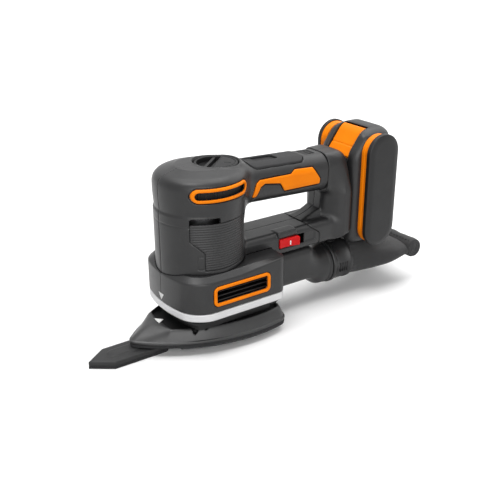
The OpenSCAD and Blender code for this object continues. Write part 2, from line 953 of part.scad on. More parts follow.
module commutator() { color("peru") ring_z(9, shaft_r, motor_z + motor_h - 9.5, motor_z + motor_h - 1); }

module cooling_fan() {
    blades = 11;
    hub = 9;
    color(dark) {
        ring_z(hub, shaft_r, fan_z, fan_z + fan_h);
        ring_z(fan_r, hub - 1, fan_z, fan_z + 1.6);
        for (i = [0:blades - 1]) rotate(i * 360 / blades)
            translate([hub - 1, -0.8, fan_z]) cube([fan_r - hub, 1.6, fan_h]);
    }
}

// Hub on the shaft, offset pin in the orbit bearing, and a weight on the far side
module eccentric() {
    pin_low = orbit_bearing_z + body_gap;
    color(steel) difference() {
        union() {
            translate([0, 0, hub_z]) cylinder(r = hub_r, h = fan_z - hub_z);
            translate([orbit, 0, pin_low]) cylinder(r = shaft_r, h = hub_z - pin_low + 1);
            intersection() {
                translate([0, 0, weight_z]) cylinder(r = weight_r, h = fan_z - weight_z - 0.5);
                translate([-2 * weight_r, -weight_r, 0]) cube([2 * weight_r, 2 * weight_r, 100]);
            }
        }
        translate([0, 0, hub_z + 2]) cylinder(r = shaft_r, h = 50);
    }
}

// Platen and clamp

module lever_place() { translate([corner_x, corner_y, 0]) children(); }

module platen() {
    color(dark) difference() {
        union() {
            along_z(platen_z, flange_z) polygon(deck_outline(neck_inset));
            along_z(flange_z, platen_top) polygon(deck_outline(flange_inset));
            translate([orbit, 0, platen_z]) cylinder(r = boss_r, h = boss_top - platen_z);
        }
        translate([orbit, 0, orbit_bearing_z]) cylinder(r = bearing_r, h = 50);
        lever_place() translate([0, 0, flange_z - 6]) cylinder(r = lever_pin_r, h = 50);
        translate([0, 0, platen_z - 1]) cylinder(r = spud_r + body_gap, h = spud_h + 1 + body_gap);
        for (i = [0:5]) rotate(30 + 60 * i) translate([24, 0, 0]) cylinder(r = dust_hole_r, h = 100);
    }
}

module orbit_bearing() {
    color(steel) translate([orbit, 0, 0])
        ring_z(bearing_r, shaft_r + run_gap, orbit_bearing_z, orbit_bearing_z + bearing_h);
}

module lever_pin() {
    color(steel) lever_place() translate([0, 0, flange_z - 6])
        cylinder(r = lever_pin_r, h = lever_z + lever_h - flange_z + 6);
}

module band_section() {
    difference() {
        polygon(deck_outline());
        polygon(deck_outline(lever_t));
    }
}

band_start = corner_x + deck_corner_r + 1;
tail_y = -20;
tail_gap = 1;

module band_rail() {
    color(silver) {
        along_z(platen_top, lever_z + lever_h) intersection() {
            band_section();
            union() {
                translate([band_start, 0]) square(far);
                translate([deck_back - 10, tail_y + tail_gap]) square(far);
            }
        }
    }
}

module clamp_lever() {
    color(silver) difference() {
        union() {
            along_z(lever_z, lever_z + lever_h) difference() {
                band_section();
                translate([corner_x, -corner_y]) square(far);
                translate([deck_back - 20, tail_y]) square(far);
            }
            along_z(lever_z, lever_z + lever_h) intersection() {
                band_section();
                translate([corner_x - far, corner_y - 1]) square(far);
            }
            along_z(lever_z, lever_z + lever_h) intersection() {
                band_section();
                translate([-far, -corner_y]) square([corner_x + far, 2 * corner_y]);
            }
            lever_place() translate([0, 0, lever_z]) cylinder(r = lever_boss_r, h = lever_h);
            along_z(lever_z + 1, lever_z + 5) intersection() {
                polygon(deck_outline(lever_t / 2));
                translate([corner_x, corner_y]) rotate(90 + 45) translate([0, -4]) square([30, 8]);
            }
        }
        lever_place() translate([0, 0, lever_z - 1]) cylinder(r = lever_pin_r + run_gap, h = 50);
    }
}

// Sanding pad and finger

// Dust holes in pairs: x and distance from the middle
hole_pairs = [[-22, 18], [10, 34], [50, 26]];
dust_holes = [for (pair = hole_pairs, side = [-1, 1]) [pair[0], side * pair[1]]];

module pad_layer(from, to, k = 0) {
    along_z(from, to) difference() {
        polygon(pad_outline(k));
        for (place = dust_holes) translate(place) circle(r = dust_hole_r);
    }
}

module pad_base() {
    color(charcoal) {
        difference() {
            union() {
                along_z(base_z, dome_z) polygon(pad_outline());
                hull() {
                    along_z(dome_z, dome_z + 0.01) polygon(pad_outline(0.6));
                    along_z(pad_top - 0.01, pad_top) intersection() {
                        polygon(pad_outline(dome_inset));
                        translate([8, 0]) circle(r = 8 + dome_front, $fn = 48);
                    }
                }
                translate([0, 0, pad_top - 1]) cylinder(r = spud_r, h = spud_h + 1);
            }
            for (place = dust_holes) translate([place[0], place[1], 0]) cylinder(r = dust_hole_r, h = 50);
        }
    }
}

module pad_foam() { color(dark) pad_layer(foam_z, base_z, 0.3); }

// The hook sheet stops behind the finger's heel
module pad_hook_sheet() {
    color("dimgray") difference() {
        pad_layer(0, foam_z, 0.6);
        translate([-200, -100, -1]) cube([200 - finger_heel + 2, 200, 10]);
    }
}

finger_low = -finger_plate_t - finger_foam_t;

function finger_outline(k = 0) = let (
        half_w = finger_w / 2 - k,
        tip = -finger_tip + 1.5 * k,
        shoulder = finger_point - finger_tip,
        heel = -finger_heel - k,
        round_r = 6)
    concat([[tip, 0], [shoulder, -half_w]],
        arc([heel - round_r, round_r - half_w], round_r, 270, 360, 6),
        arc([heel - round_r, half_w - round_r], round_r, 0, 90, 6),
        [[shoulder, half_w]]);

module finger_plate() {
    rib_w = 3;
    seat_front = -70;
    color(charcoal) {
        difference() {
            along_z(-finger_plate_t, 0) polygon(finger_outline());
            for (y = [-8, 0, 8]) translate([-finger_tip + 22, y - rib_w / 2, -0.8]) cube([18, rib_w, 2]);
        }
        along_z(-1, foam_z) translate([(seat_front - finger_heel) / 2, 0])
            polygon(rounded(-seat_front - finger_heel - 1, finger_w - 14, 3));
    }
}

module finger_foam() { color(dark) along_z(finger_low, -finger_plate_t) polygon(finger_outline(0.5)); }

// Controls

module speed_dial() {
    scoop_r = dial_r - 3.5;
    scoop_d = 4;
    bar_w = 7;
    bar_turn = 42;
    stem_low = dial_floor - wall - pot_h + 3;
    color(dark) translate([dial_x, 0, 0]) {
        difference() {
            translate([0, 0, dial_floor + body_gap]) cylinder(r = dial_r, h = dial_t);
            difference() {
                translate([0, 0, dial_top - scoop_d]) cylinder(r = scoop_r, h = 10);
                rotate(bar_turn) translate([-50, -bar_w / 2, 0]) cube([100, bar_w, 300]);
            }
        }
        translate([0, 0, stem_low]) cylinder(r = stem_r, h = dial_floor + 1 - stem_low);
    }
}

module switch_rocker() {
    half_w = rocker_w / 2;
    crown = 6;
    lift = 1.2;
    color("red") translate([switch_x, switch_y, switch_z]) rotate(-rocker_tilt) {
        translate([0, 0, -rocker_h / 2]) linear_extrude(rocker_h)
            polygon([[-half_w, -crown - lift], [0, -crown], [half_w, -crown - lift], [half_w, -1.5],
                     [3, -1.5], [3, 1], [-3, 1], [-3, -1.5], [-half_w, -1.5]]);
        cylinder(r = pivot_r, h = rocker_h + 2 * ear_h, center = true);
    }
}

// Battery

function case_side(k) = [[bat_front + k, bat_low + k], [bat_front + k, slope_z - k / 3],
    [bat_front + slope_run + k / 2, bat_top - k], [bat_back - 7, bat_top - k], [bat_back - k, bat_top - 7],
    [bat_back - k, bat_low + 6], [bat_back - 6, bat_low + k]];

// Seen from behind, the case's top edges are cut off
function case_rear(k) = let (half_w = case_half_w - k, top = bat_top - k) [[-half_w, 0], [half_w, 0],
    [half_w, top - top_drop], [half_w - top_in, top], [top_in - half_w, top], [-half_w, top - top_drop]];

module case_form(k) {
    intersection() {
        along_y(-far, far) polygon(case_side(k));
        along_x(0, 2 * far) polygon(case_rear(k));
    }
}

// u runs up the battery's front slope, w stands out from it
module on_slope() {
    translate([bat_front, 0, slope_z]) rotate([0, -slope_angle, 0]) children();
}

module across(r, from, to) {
    translate([hinge_u, from, hinge_w]) rotate([-90, 0, 0]) cylinder(r = r, h = to - from);
}

module battery_opening() {
    translate([opening_x, panel_z]) polygon(slot_shape(opening_w, opening_h));
}

lug_t = 4.2;

module battery_case() {
    color(charcoal) difference() {
        union() {
            difference() {
                case_form(0);
                case_form(wall);
            }
            on_slope() for (side = [-1, 1]) on_side(side)
                across(4.4, -latch_w / 2 - latch_gap - lug_t, -latch_w / 2 - latch_gap);
        }
        along_y(-far, far) battery_opening();
        on_slope() across(pivot_r + run_gap, -50, 50);
        on_slope() translate([1, -latch_w / 2 - latch_gap, -7])
            cube([slope_len - 1.5, latch_w + 2 * latch_gap, 20]);
        for (side = [-1, 1]) on_side(side) {
            translate([bat_front - 1, -rail_y - rail_w - slot_gap, bat_low - 1])
                cube([wall + 2, rail_w + 2 * slot_gap, rail_low + rail_len + slot_gap - bat_low + 1]);
            translate([bat_front - 1, -rail_y - rail_w - rail_lip - slot_gap, bat_low - 1])
                cube([7, rail_w + rail_lip + 2 * slot_gap, wall + 2]);
        }
        translate([bat_front - 1, -contact_half_w - slot_gap, bat_low - 1])
            cube([wall + 2, 2 * (contact_half_w + slot_gap), contact_low + contact_h + slot_gap - bat_low + 1]);
        translate([bat_front - 1, -contact_half_w - slot_gap, bat_low - 1])
            cube([10, 2 * (contact_half_w + slot_gap), wall + 2]);
    }
}

module battery_rim(side) {
    color(orange) on_side(side) along_y(-case_half_w - rim_t, -case_half_w) difference() {
        translate([panel_x - rim_lead / 2, panel_z])
            polygon(slot_shape(panel_w - rim_in, panel_h - 2 * rim_in));
        battery_opening();
    }
}

module battery_rim_left() { battery_rim(-1); }

module battery_rim_right() { battery_rim(1); }

module battery_panel(side) {
    color(charcoal) on_side(side) along_y(-case_half_w - rim_t - panel_t, -case_half_w - rim_t)
        translate([panel_x, panel_z]) polygon(slot_shape(panel_w, panel_h));
}

module battery_panel_left() { battery_panel(-1); }

module battery_panel_right() { battery_panel(1); }

module at_cells() {
    for (i = [0:cell_count - 1])
        translate([cell_x, 0, panel_z + (i - (cell_count - 1) / 2) * cell_pitch]) children();
}

module battery_cells() {
    color("teal") at_cells() rotate([90, 0, 0]) cylinder(r = cell_r, h = cell_len, center = true);
}

module cell_frames() {
    color(dark) for (side = [-1, 1]) difference() {
        intersection() {
            case_form(wall + seat_gap);
            translate([opening_x - opening_w / 2, side * frame_y - frame_t / 2, 0])
                cube([far, frame_t, far]);
        }
        at_cells() rotate([90, 0, 0]) cylinder(r = cell_r + run_gap, h = far, center = true);
    }
}

module battery_board() {
    board_t = 1.6;
    board_half_w = frame_y - frame_t / 2 + 0.7;
    color("darkgreen")
        translate([opening_x - opening_w / 2 - board_t - seat_gap, -board_half_w, panel_z - 30])
            cube([board_t, 2 * board_half_w, 55]);
}

module battery_latch() {
    half_w = latch_w / 2;
    color(orange) on_slope() {
        translate([2, -half_w, -latch_t + 0.6]) cube([slope_len - 3, latch_w, latch_t]);
        translate([2, -half_w, hinge_w]) cube([3.4, latch_w, -hinge_w - 1]);
        across(2.6, -half_w, half_w);
        across(pivot_r, -half_w - lug_t, half_w + lug_t);
    }
}

// Dust bag

collar_end = port_end + 24;

module bag_collar() {
    ribs = 4;
    color(dark) difference() {
        port_rod(port_r + 0.5, port_end + body_gap, collar_end);
        port_rod(spigot_r + body_gap, port_end - 1, port_end + spigot_len + 1);
        port_rod(spigot_r - wall, port_end - 1, collar_end + 1);
        for (i = [0:ribs - 1]) translate([port_end + 10 + 2.8 * i, 0, port_z]) rotate([0, 90, 0])
            difference() {
                cylinder(r = port_r + 5, h = 1.2);
                cylinder(r = port_r - 0.5, h = 1.2);
            }
    }
}

bag_end = port_end + 101;
bag_half_w = 36;
roll_r = 10.5;

// A flat pouch that widens to the rolled rear end
module dust_bag() {
    color("black") hull() {
        port_rod(port_r - 1, collar_end, collar_end + 6, $fn = 32);
        translate([collar_end + 30, 0, port_z - 1]) rotate([0, 90, 0])
            cylinder(r = port_r - 2, h = 1, $fn = 32);
        translate([bag_end, 0, port_z + 2]) rotate([90, 0, 0])
            cylinder(r = roll_r, h = 2 * bag_half_w, center = true, $fn = 32);
    }
}

body_left();
body_right();
deck_left();
deck_right();
tower_left();
tower_right();
dust_duct();
grip_pad();
grip_inlay_left();
grip_inlay_right();
cap_vent_left();
cap_vent_right();
deck_vent_left();
deck_vent_right();
side_panel_left();
side_panel_right();
motor_can();
motor_magnets();
brush_plate();
upper_bearing();
bearing_plate();
lower_bearing();
base_plate();
rubber_legs();
switch_module();
control_board();
speed_potentiometer();
terminal_block();
terminal_blades();
body_screws();
motor_shaft();
armature();
commutator();
cooling_fan();
eccentric();
platen();
orbit_bearing();
lever_pin();
band_rail();
clamp_lever();
pad_base();
pad_foam();
pad_hook_sheet();
finger_plate();
finger_foam();
speed_dial();
switch_rocker();
battery_case();
battery_rim_left();
battery_rim_right();
battery_panel_left();
battery_panel_right();
battery_cells();
cell_frames();
battery_board();
battery_latch();
bag_collar();
dust_bag();
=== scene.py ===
"""Looks of a cordless detail sander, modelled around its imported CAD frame.

The moulded shells are signed distance fields in millimetres, skinned to meshes. Small pieces are turned,
lofted or bevelled, and what repeats comes from Geometry Nodes. Every piece rides on its CAD body.
"""

import math

import bmesh
import bpy
import numpy as np
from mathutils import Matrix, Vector


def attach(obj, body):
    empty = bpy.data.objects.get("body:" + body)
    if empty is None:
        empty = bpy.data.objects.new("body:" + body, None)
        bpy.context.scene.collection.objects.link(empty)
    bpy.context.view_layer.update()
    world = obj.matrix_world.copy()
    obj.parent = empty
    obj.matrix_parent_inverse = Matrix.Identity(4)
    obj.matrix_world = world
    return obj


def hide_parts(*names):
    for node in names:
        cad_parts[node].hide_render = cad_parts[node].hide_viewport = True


MM = 0.001

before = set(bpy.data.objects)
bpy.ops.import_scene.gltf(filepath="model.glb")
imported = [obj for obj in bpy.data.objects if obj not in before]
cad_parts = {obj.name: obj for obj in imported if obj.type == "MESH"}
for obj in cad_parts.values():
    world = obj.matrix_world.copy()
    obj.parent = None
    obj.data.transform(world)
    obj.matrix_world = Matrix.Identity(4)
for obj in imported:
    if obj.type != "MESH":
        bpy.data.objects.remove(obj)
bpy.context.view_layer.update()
scene = bpy.context.scene

# Sizes in millimetres, in the CAD frame: motor axis at x = y = 0, pad sole at z = 0
FLOOR_Z = -7.6
WAIST_X, WAIST_R, CAP_R, CAP_LOW, HEAD_TOP = -1.8, 40.2, 41.8, 113.0, 157.2
DECK_LOW, LEDGE_TOP = 36.5, 71.0
HANDLE_Z, HANDLE_FALL, HANDLE_END = 134.75, math.radians(2.6), 130.0
HANDLE_W, HANDLE_H, HANDLE_ROUND = 42.0, 37.0, 15.0
ARM_W, ARM_H, ARM_ROUND, ARM_MID = 46.0, 23.5, 6.0, 71.25
ARM_LOW, ARM_TOP = 59.5, 83.0
TOWER_BACK, TOWER_TOP, ELBOW_R = 156.3, 148.0, 12.0
PORT_Z, PORT_R, PORT_END = 28.0, 20.5, 142.0
BAT_FRONT, BAT_BACK, BAT_LOW, BAT_TOP = 157.0, 203.0, 51.0, 166.0
SLOPE_Z = 138.0
PANEL_X, PANEL_Z, PANEL_W, PANEL_H = 183.8, 106.4, 36.4, 112.0
DIAL_X, DIAL_R, DIAL_TOP = 17.0, 20.0, 156.0
SWITCH_X, SWITCH_Y, SWITCH_Z = 82.75, -18.2, 71.75
WALL, SEAM = 2.6, 0.07


# ---------------------------------------------------------------- distance fields

def hard_and(*fields):
    out = fields[0]
    for field in fields[1:]:
        out = np.maximum(out, field)
    return out


def fillet(a, b, k):
    """Union of two forms with a fillet about k wide."""
    h = np.clip(0.5 + 0.5 * (b - a) / k, 0.0, 1.0)
    return b + (a - b) * h - k * h * (1.0 - h)


def eased(a, b, k):
    """Intersection of two forms with an edge about k wide rounded off."""
    return -fillet(-a, -b, k)


def cut(form, tool, k=0.0):
    return eased(form, -tool, k) if k else np.maximum(form, -tool)


def rounded_rect(u, v, w, h, r):
    a, b = np.abs(u) - w / 2 + r, np.abs(v) - h / 2 + r
    return np.hypot(np.maximum(a, 0), np.maximum(b, 0)) + np.minimum(np.maximum(a, b), 0) - r


def outline(u, v, points):
    """Signed distance to a closed polygon, negative inside."""
    best, inside = 1e9, False
    for (px, py), (qx, qy) in zip(points, points[1:] + points[:1]):
        ex, ey = qx - px, qy - py
        t = np.clip(((u - px) * ex + (v - py) * ey) / (ex * ex + ey * ey), 0.0, 1.0)
        best = np.minimum(best, (u - px - t * ex) ** 2 + (v - py - t * ey) ** 2)
        if ey:
            crosses = ((v >= py) != (v >= qy)) & (u < px + (v - py) * ex / ey)
            inside = inside ^ crosses
    return np.where(inside, -1.0, 1.0) * np.sqrt(best)


def extruded(flat, w, low, high, r=0.0):
    a, b = flat + r, np.abs(w - (low + high) / 2) - (high - low) / 2 + r
    return np.hypot(np.maximum(a, 0), np.maximum(b, 0)) + np.minimum(np.maximum(a, b), 0) - r


def block(x, y, z, low, high, r=0.0):
    flat = rounded_rect(x - (low[0] + high[0]) / 2, y - (low[1] + high[1]) / 2,
                        high[0] - low[0], high[1] - low[1], r)
    return extruded(flat, z, low[2], high[2], r)


def arc(cx, cy, r, start, end, steps):
    turns = [math.radians(start + (end - start) * i / steps) for i in range(steps + 1)]
    return [(cx + r * math.cos(t), cy + r * math.sin(t)) for t in turns]


def mirrored(points):
    return [(u, -v) for u, v in reversed(points)]


def smoothed(t):
    """Eases a run from 0 to 1 in and out."""
    return t * t * (3.0 - 2.0 * t)


EDGES = [(a, b) for a in range(8) for b in range(8) if a < b and bin(a ^ b).count("1") == 1]
SETTLE_ROUNDS, PROBE, LEAST_SLOPE = 3, 0.05, 0.2


def skin(field, low, high, step):
    """Surface nets: one vertex in each cell the surface crosses, pulled onto the surface."""
    axes = [np.arange(low[i], high[i] + step, step) for i in range(3)]
    shape = tuple(len(a) for a in axes)
    x, y, z = axes[0][:, None, None], axes[1][None, :, None], axes[2][None, None, :]
    f = np.broadcast_to(field(x, y, z), shape).astype(np.float32)
    inside = f < 0
    corner = [((c >> 2) & 1, (c >> 1) & 1, c & 1) for c in range(8)]
    part = lambda g, c: g[c[0]:shape[0] - 1 + c[0], c[1]:shape[1] - 1 + c[1], c[2]:shape[2] - 1 + c[2]]
    count = sum(part(inside, c).astype(np.int8) for c in corner)
    active = (count > 0) & (count < 8)
    cells = np.argwhere(active)
    ids = np.full(active.shape, -1, np.int64)
    ids[active] = np.arange(len(cells))
    at = [f[cells[:, 0] + c[0], cells[:, 1] + c[1], cells[:, 2] + c[2]] for c in corner]
    total, hits = np.zeros((len(cells), 3)), np.zeros(len(cells))
    for a, b in EDGES:
        crosses = (at[a] < 0) != (at[b] < 0)
        t = at[a][crosses] / (at[a][crosses] - at[b][crosses])
        ca, cb = np.array(corner[a], float), np.array(corner[b], float)
        total[crosses] += ca + t[:, None] * (cb - ca)
        hits[crosses] += 1
    points = np.array(low, float) + step * (cells + total / hits[:, None])
    for _ in range(SETTLE_ROUNDS):
        points = points - settled(field, points, step)
    faces = []
    for axis in range(3):
        u, v = [i for i in range(3) if i != axis]
        lower = np.moveaxis(inside, (axis, u, v), (0, 1, 2))
        change = lower[:-1, 1:-1, 1:-1] != lower[1:, 1:-1, 1:-1]
        spot = np.argwhere(change)
        around = []
        for du, dv in ((0, 0), (1, 0), (1, 1), (0, 1)):
            cell = np.zeros((len(spot), 3), np.int64)
            cell[:, axis], cell[:, u], cell[:, v] = spot[:, 0], spot[:, 1] + du, spot[:, 2] + dv
            around.append(ids[cell[:, 0], cell[:, 1], cell[:, 2]])
        quad = np.stack(around, 1)
        flip = lower[:-1, 1:-1, 1:-1][change] == (axis == 1)
        quad[flip] = quad[flip][:, ::-1]
        faces.append(quad)
    return points, np.concatenate(faces)


def settled(field, points, step):
    """How far each point is to move to reach the surface."""
    p = points.T
    d = field(p[0], p[1], p[2])
    nudges = [PROBE * np.eye(3)[i][:, None] for i in range(3)]
    slope = np.stack([(field(*(p + nudge)) - field(*(p - nudge))) / (2 * PROBE) for nudge in nudges], 1)
    size = np.maximum((slope ** 2).sum(1), LEAST_SLOPE)
    return np.clip(d, -step / 2, step / 2)[:, None] * slope / size[:, None]


# ---------------------------------------------------------------- finishes

class Wire:
    """A shader socket that takes part in Python arithmetic."""

    def __init__(self, finish, socket):
        self.finish, self.socket = finish, socket

    def math(self, operation, other=None, flip=False):
        pair = (other, self) if flip else (self, other)
        sockets = {i: v for i, v in enumerate(pair) if v is not None}
        return self.finish.node("ShaderNodeMath", {"operation": operation}, sockets)

    def __add__(self, other):
        return self.math("ADD", other)

    def __sub__(self, other):
        return self.math("SUBTRACT", other)

    def __mul__(self, other):
        return self.math("MULTIPLY", other)

    def __rsub__(self, other):
        return self.math("SUBTRACT", other, flip=True)

    __radd__, __rmul__ = __add__, __mul__


class Finish:
    """A procedural material on Object coordinates."""

    def __init__(self, name, owner=None):
        self.material = owner or bpy.data.materials.new(name)
        self.material.use_nodes = True
        self.tree = self.material.node_tree
        self.tree.nodes.clear()
        self.place = self.node("ShaderNodeTexCoord", out="Object")

    def node(self, kind, settings=None, sockets=None, out=0):
        made = self.tree.nodes.new(kind)
        for key, value in (settings or {}).items():
            if key == "stops":
                ramp = made.color_ramp.elements
                while len(ramp) < len(value):
                    ramp.new(0.5)
                for stop, (at, colour) in zip(ramp, value):
                    stop.position, stop.color = at, colour
            else:
                setattr(made, key, value)
        for key, value in (sockets or {}).items():
            if isinstance(value, Wire):
                self.tree.links.new(value.socket, made.inputs[key])
            else:
                made.inputs[key].default_value = value
        return None if out is None else Wire(self, made.outputs[out])

    def noise(self, scale, detail=2.0, rough=0.5, where=None):
        return self.node("ShaderNodeTexNoise", None, {"Vector": where or self.place, "Scale": scale,
                                                      "Detail": detail, "Roughness": rough}, "Fac")

    def ramp(self, fac, stops):
        return self.node("ShaderNodeValToRGB", {"stops": stops}, {"Fac": fac}, "Color")

    def mix(self, fac, a, b):
        return self.node("ShaderNodeMix", {"data_type": "RGBA"}, {0: fac, 6: a, 7: b}, 2)

    def ease(self, value, low, high):
        return self.node("ShaderNodeMapRange", {"interpolation_type": "SMOOTHSTEP"},
                         {"Value": value, "From Min": low, "From Max": high}, "Result")

    def along(self, vector, axis):
        return self.node("ShaderNodeSeparateXYZ", None, {0: vector}, axis)

    def cells(self, scale):
        """Distance to the nearest of many scattered dots."""
        return self.node("ShaderNodeTexVoronoi", {"feature": "F1"}, {"Vector": self.place, "Scale": scale},
                         "Distance")

    def seen(self):
        """1 for what the camera sees, straight or reflected, and 0 for light that falls on the object."""
        rays = ["Is %s Ray" % kind for kind in ("Camera", "Glossy", "Transmission")]
        camera, glossy, through = [self.node("ShaderNodeLightPath", out=ray) for ray in rays]
        return camera.math("MAXIMUM", glossy).math("MAXIMUM", through)

    def bump(self, height, strength, depth_mm):
        return self.node("ShaderNodeBump", None, {"Height": height, "Strength": strength,
                                                  "Distance": depth_mm * MM}, "Normal")

    def surface(self, **sockets):
        named = {key.replace("_", " ").title().replace("Ior", "IOR"): value for key, value in sockets.items()}
        shader = self.node("ShaderNodeBsdfPrincipled", None, named, "BSDF")
        self.node("ShaderNodeOutputMaterial", None, {"Surface": shader}, None)
        return self.material


def rgba(r, g, b):
    return (r, g, b, 1.0)


def moulded_plastic(name, dark, light, rough=0.40, grain=0.35, shine=0.3):
    """Spark-eroded plastic: a fine grain, slow shifts of tone, and shine that varies a little."""
    f = Finish(name)
    tone = f.noise(55.0, 3.0)
    fleck = f.noise(1900.0, 1.0)
    colour = f.ramp(tone * 0.75 + fleck * 0.25, [(0.35, rgba(*dark)), (0.65, rgba(*light))])
    dull = f.noise(120.0, 2.0) * 0.10 + fleck * 0.06 + (rough - 0.08)
    pits = f.noise(1500.0, 2.0, 0.6)
    return f.surface(base_color=colour, roughness=dull, specular_ior_level=shine,
                     normal=f.bump(pits, grain, 0.12))


RIB_PITCH = 2.2


def ribbed_plastic(name, dark, light):
    """Plastic for the ribbed panels, darker down in the grooves between the ribs: that darkening is painted
    shade.
    """
    f = Finish(name)
    wave = (f.along(f.place, "Z") * (2 * math.pi / (RIB_PITCH * MM))).math("COSINE") * 0.5 + 0.5
    rib = f.ease(wave, 0.15, 0.6)
    fleck = f.noise(1900.0, 1.0)
    # The ramp darkens the grooves between the ribs: painted shade.
    colour = f.ramp(rib * 0.8 + fleck * 0.2, [(0.15, rgba(*dark)), (0.9, rgba(*light))])
    return f.surface(base_color=colour, roughness=0.36 + 0.1 * fleck, specular_ior_level=0.35,
                     normal=f.bump(rib + 0.1 * fleck, 0.3, 0.2))


def trim_plastic(name, dark, light, rough=0.3):
    """Glossy coloured plastic with a faint moulding ripple."""
    f = Finish(name)
    tone = f.noise(70.0, 2.0)
    fleck = f.noise(1300.0, 1.0)
    colour = f.ramp(tone * 0.8 + fleck * 0.2, [(0.3, rgba(*dark)), (0.7, rgba(*light))])
    shine = tone * 0.12 + fleck * 0.05 + (rough - 0.08)
    return f.surface(base_color=colour, roughness=shine, specular_ior_level=0.12,
                     normal=f.bump(fleck, 0.12, 0.08))


def soft_rubber(name, dark, light):
    """Moulded rubber with a small raised dot grain."""
    f = Finish(name)
    dots = f.cells(900.0)
    tone = f.noise(90.0, 3.0)
    colour = f.ramp(tone, [(0.3, rgba(*dark)), (0.7, rgba(*light))])
    return f.surface(base_color=colour, roughness=0.62 + 0.2 * tone, specular_ior_level=0.35,
                     normal=f.bump(1.0 - dots, 0.35, 0.25))


def brushed_metal(name, dark, light, rough=0.32, metal=1.0, along=(4.0, 4.0, 320.0)):
    """Metal with fine drawn lines, seen in its colour, its shine and its relief."""
    f = Finish(name)
    grain_place = f.node("ShaderNodeMapping", None, {"Vector": f.place, "Scale": along}, "Vector")
    lines = f.noise(9.0, 4.0, 0.65, grain_place)
    stain = f.noise(60.0, 3.0)
    colour = f.ramp(lines * 0.7 + stain * 0.3, [(0.3, rgba(*dark)), (0.7, rgba(*light))])
    return f.surface(base_color=colour, roughness=lines * 0.18 + stain * 0.1 + (rough - 0.14), metallic=metal,
                     normal=f.bump(lines, 0.15, 0.05))


def cellular_foam(name, dark, light):
    """Closed-cell foam: open pores over a dull skin."""
    f = Finish(name)
    pores = f.cells(1400.0)
    tone = f.noise(200.0, 4.0, 0.65)
    colour = f.ramp(pores * 0.6 + tone * 0.4, [(0.15, rgba(*dark)), (0.6, rgba(*light))])
    return f.surface(base_color=colour, roughness=0.8 + 0.15 * tone, specular_ior_level=0.25,
                     normal=f.bump(pores, 0.6, 0.3))


def hook_loops(name, dark, light):
    """A field of small hooks, as under a sanding pad."""
    f = Finish(name)
    hooks = f.cells(1100.0)
    lie = f.noise(300.0, 3.0)
    colour = f.ramp(hooks * 0.8 + lie * 0.2, [(0.15, rgba(*light)), (0.55, rgba(*dark))])
    return f.surface(base_color=colour, roughness=0.85 + 0.1 * lie, specular_ior_level=0.2,
                     normal=f.bump(1.0 - hooks, 0.8, 0.5))


def woven_cloth(name, dark, light, thread_mm=0.55):
    """Plain weave on the piece's own UV map, which is in millimetres."""
    f = Finish(name)
    uv = f.node("ShaderNodeUVMap", {"uv_map": "weave"}, None, "UV")
    u, v = f.along(uv, "X"), f.along(uv, "Y")
    turn = math.pi / thread_mm
    warp, weft = (u * turn).math("SINE"), (v * turn).math("SINE")
    threads = (warp * weft) * 0.5 + 0.5
    fuzz = f.noise(2200.0, 2.0)
    lie = f.noise(35.0, 4.0, 0.6)
    colour = f.ramp(threads * 0.5 + fuzz * 0.2 + lie * 0.3, [(0.25, rgba(*dark)), (0.75, rgba(*light))])
    return f.surface(base_color=colour, roughness=0.78 + 0.14 * lie, specular_ior_level=0.3,
                     sheen_weight=0.15, sheen_roughness=0.5, normal=f.bump(threads + 0.4 * fuzz, 0.45, 0.22))


def circuit_board(name):
    """Green solder mask with paler tracks."""
    f = Finish(name)
    tracks = f.node("ShaderNodeTexBrick", {"offset": 0.5}, {
        "Vector": f.place, "Scale": 160.0, "Mortar Size": 0.03, "Color1": rgba(0.012, 0.09, 0.035),
        "Color2": rgba(0.01, 0.07, 0.03), "Mortar": rgba(0.03, 0.2, 0.07)}, "Color")
    return f.surface(base_color=tracks, roughness=0.28 + 0.1 * f.noise(300.0), coat_weight=0.2)


def grey(level, blue=0.0005):
    return level, level, level + blue


charcoal = moulded_plastic("charcoal_shell", grey(0.011), grey(0.016), rough=0.38, shine=0.36)
pad_grey = moulded_plastic("pad_shell", grey(0.021), grey(0.030), rough=0.38, grain=0.15, shine=0.45)
battery_grey = moulded_plastic("battery_plastic", grey(0.010), grey(0.014), rough=0.42, shine=0.26)
black = moulded_plastic("black_plastic", grey(0.006), grey(0.012), rough=0.5, shine=0.2)
panel_black = ribbed_plastic("panel_plastic", grey(0.006), grey(0.026))
finger_grey = moulded_plastic("finger_plastic", grey(0.016), grey(0.023), rough=0.55, shine=0.3)
orange = trim_plastic("orange_trim", (0.90, 0.215, 0.002), (0.98, 0.25, 0.003), rough=0.4)
red = trim_plastic("red_rocker", (0.55, 0.008, 0.010), (0.70, 0.014, 0.016), rough=0.25)
white = trim_plastic("white_print", (0.78, 0.78, 0.77), (0.86, 0.86, 0.85), rough=0.5)
silver = brushed_metal("silver_band", (0.60, 0.60, 0.61), (0.74, 0.74, 0.745), rough=0.38, metal=0.15)
steel = brushed_metal("drawn_steel", (0.40, 0.41, 0.43), (0.58, 0.59, 0.60))
copper = brushed_metal("wound_copper", (0.40, 0.15, 0.07), (0.62, 0.26, 0.13))
brass = brushed_metal("contact_brass", (0.55, 0.38, 0.12), (0.74, 0.55, 0.22), rough=0.26)
magnet = cellular_foam("sintered_magnet", grey(0.030, 0.002), grey(0.075, 0.003))
grip_rubber = soft_rubber("grip_rubber", grey(0.012, 0.001), grey(0.024, 0.001))
foam = cellular_foam("pad_foam", grey(0.010, 0.001), grey(0.030, 0.001))
hooks = hook_loops("hook_sheet", grey(0.035, 0.002), grey(0.14, 0.005))
bag_cloth = woven_cloth("bag_cloth", grey(0.018), grey(0.048, 0.001))
cell_wrap = trim_plastic("cell_wrap", (0.02, 0.22, 0.24), (0.03, 0.30, 0.32))
board = circuit_board("circuit_board")


# ---------------------------------------------------------------- making pieces

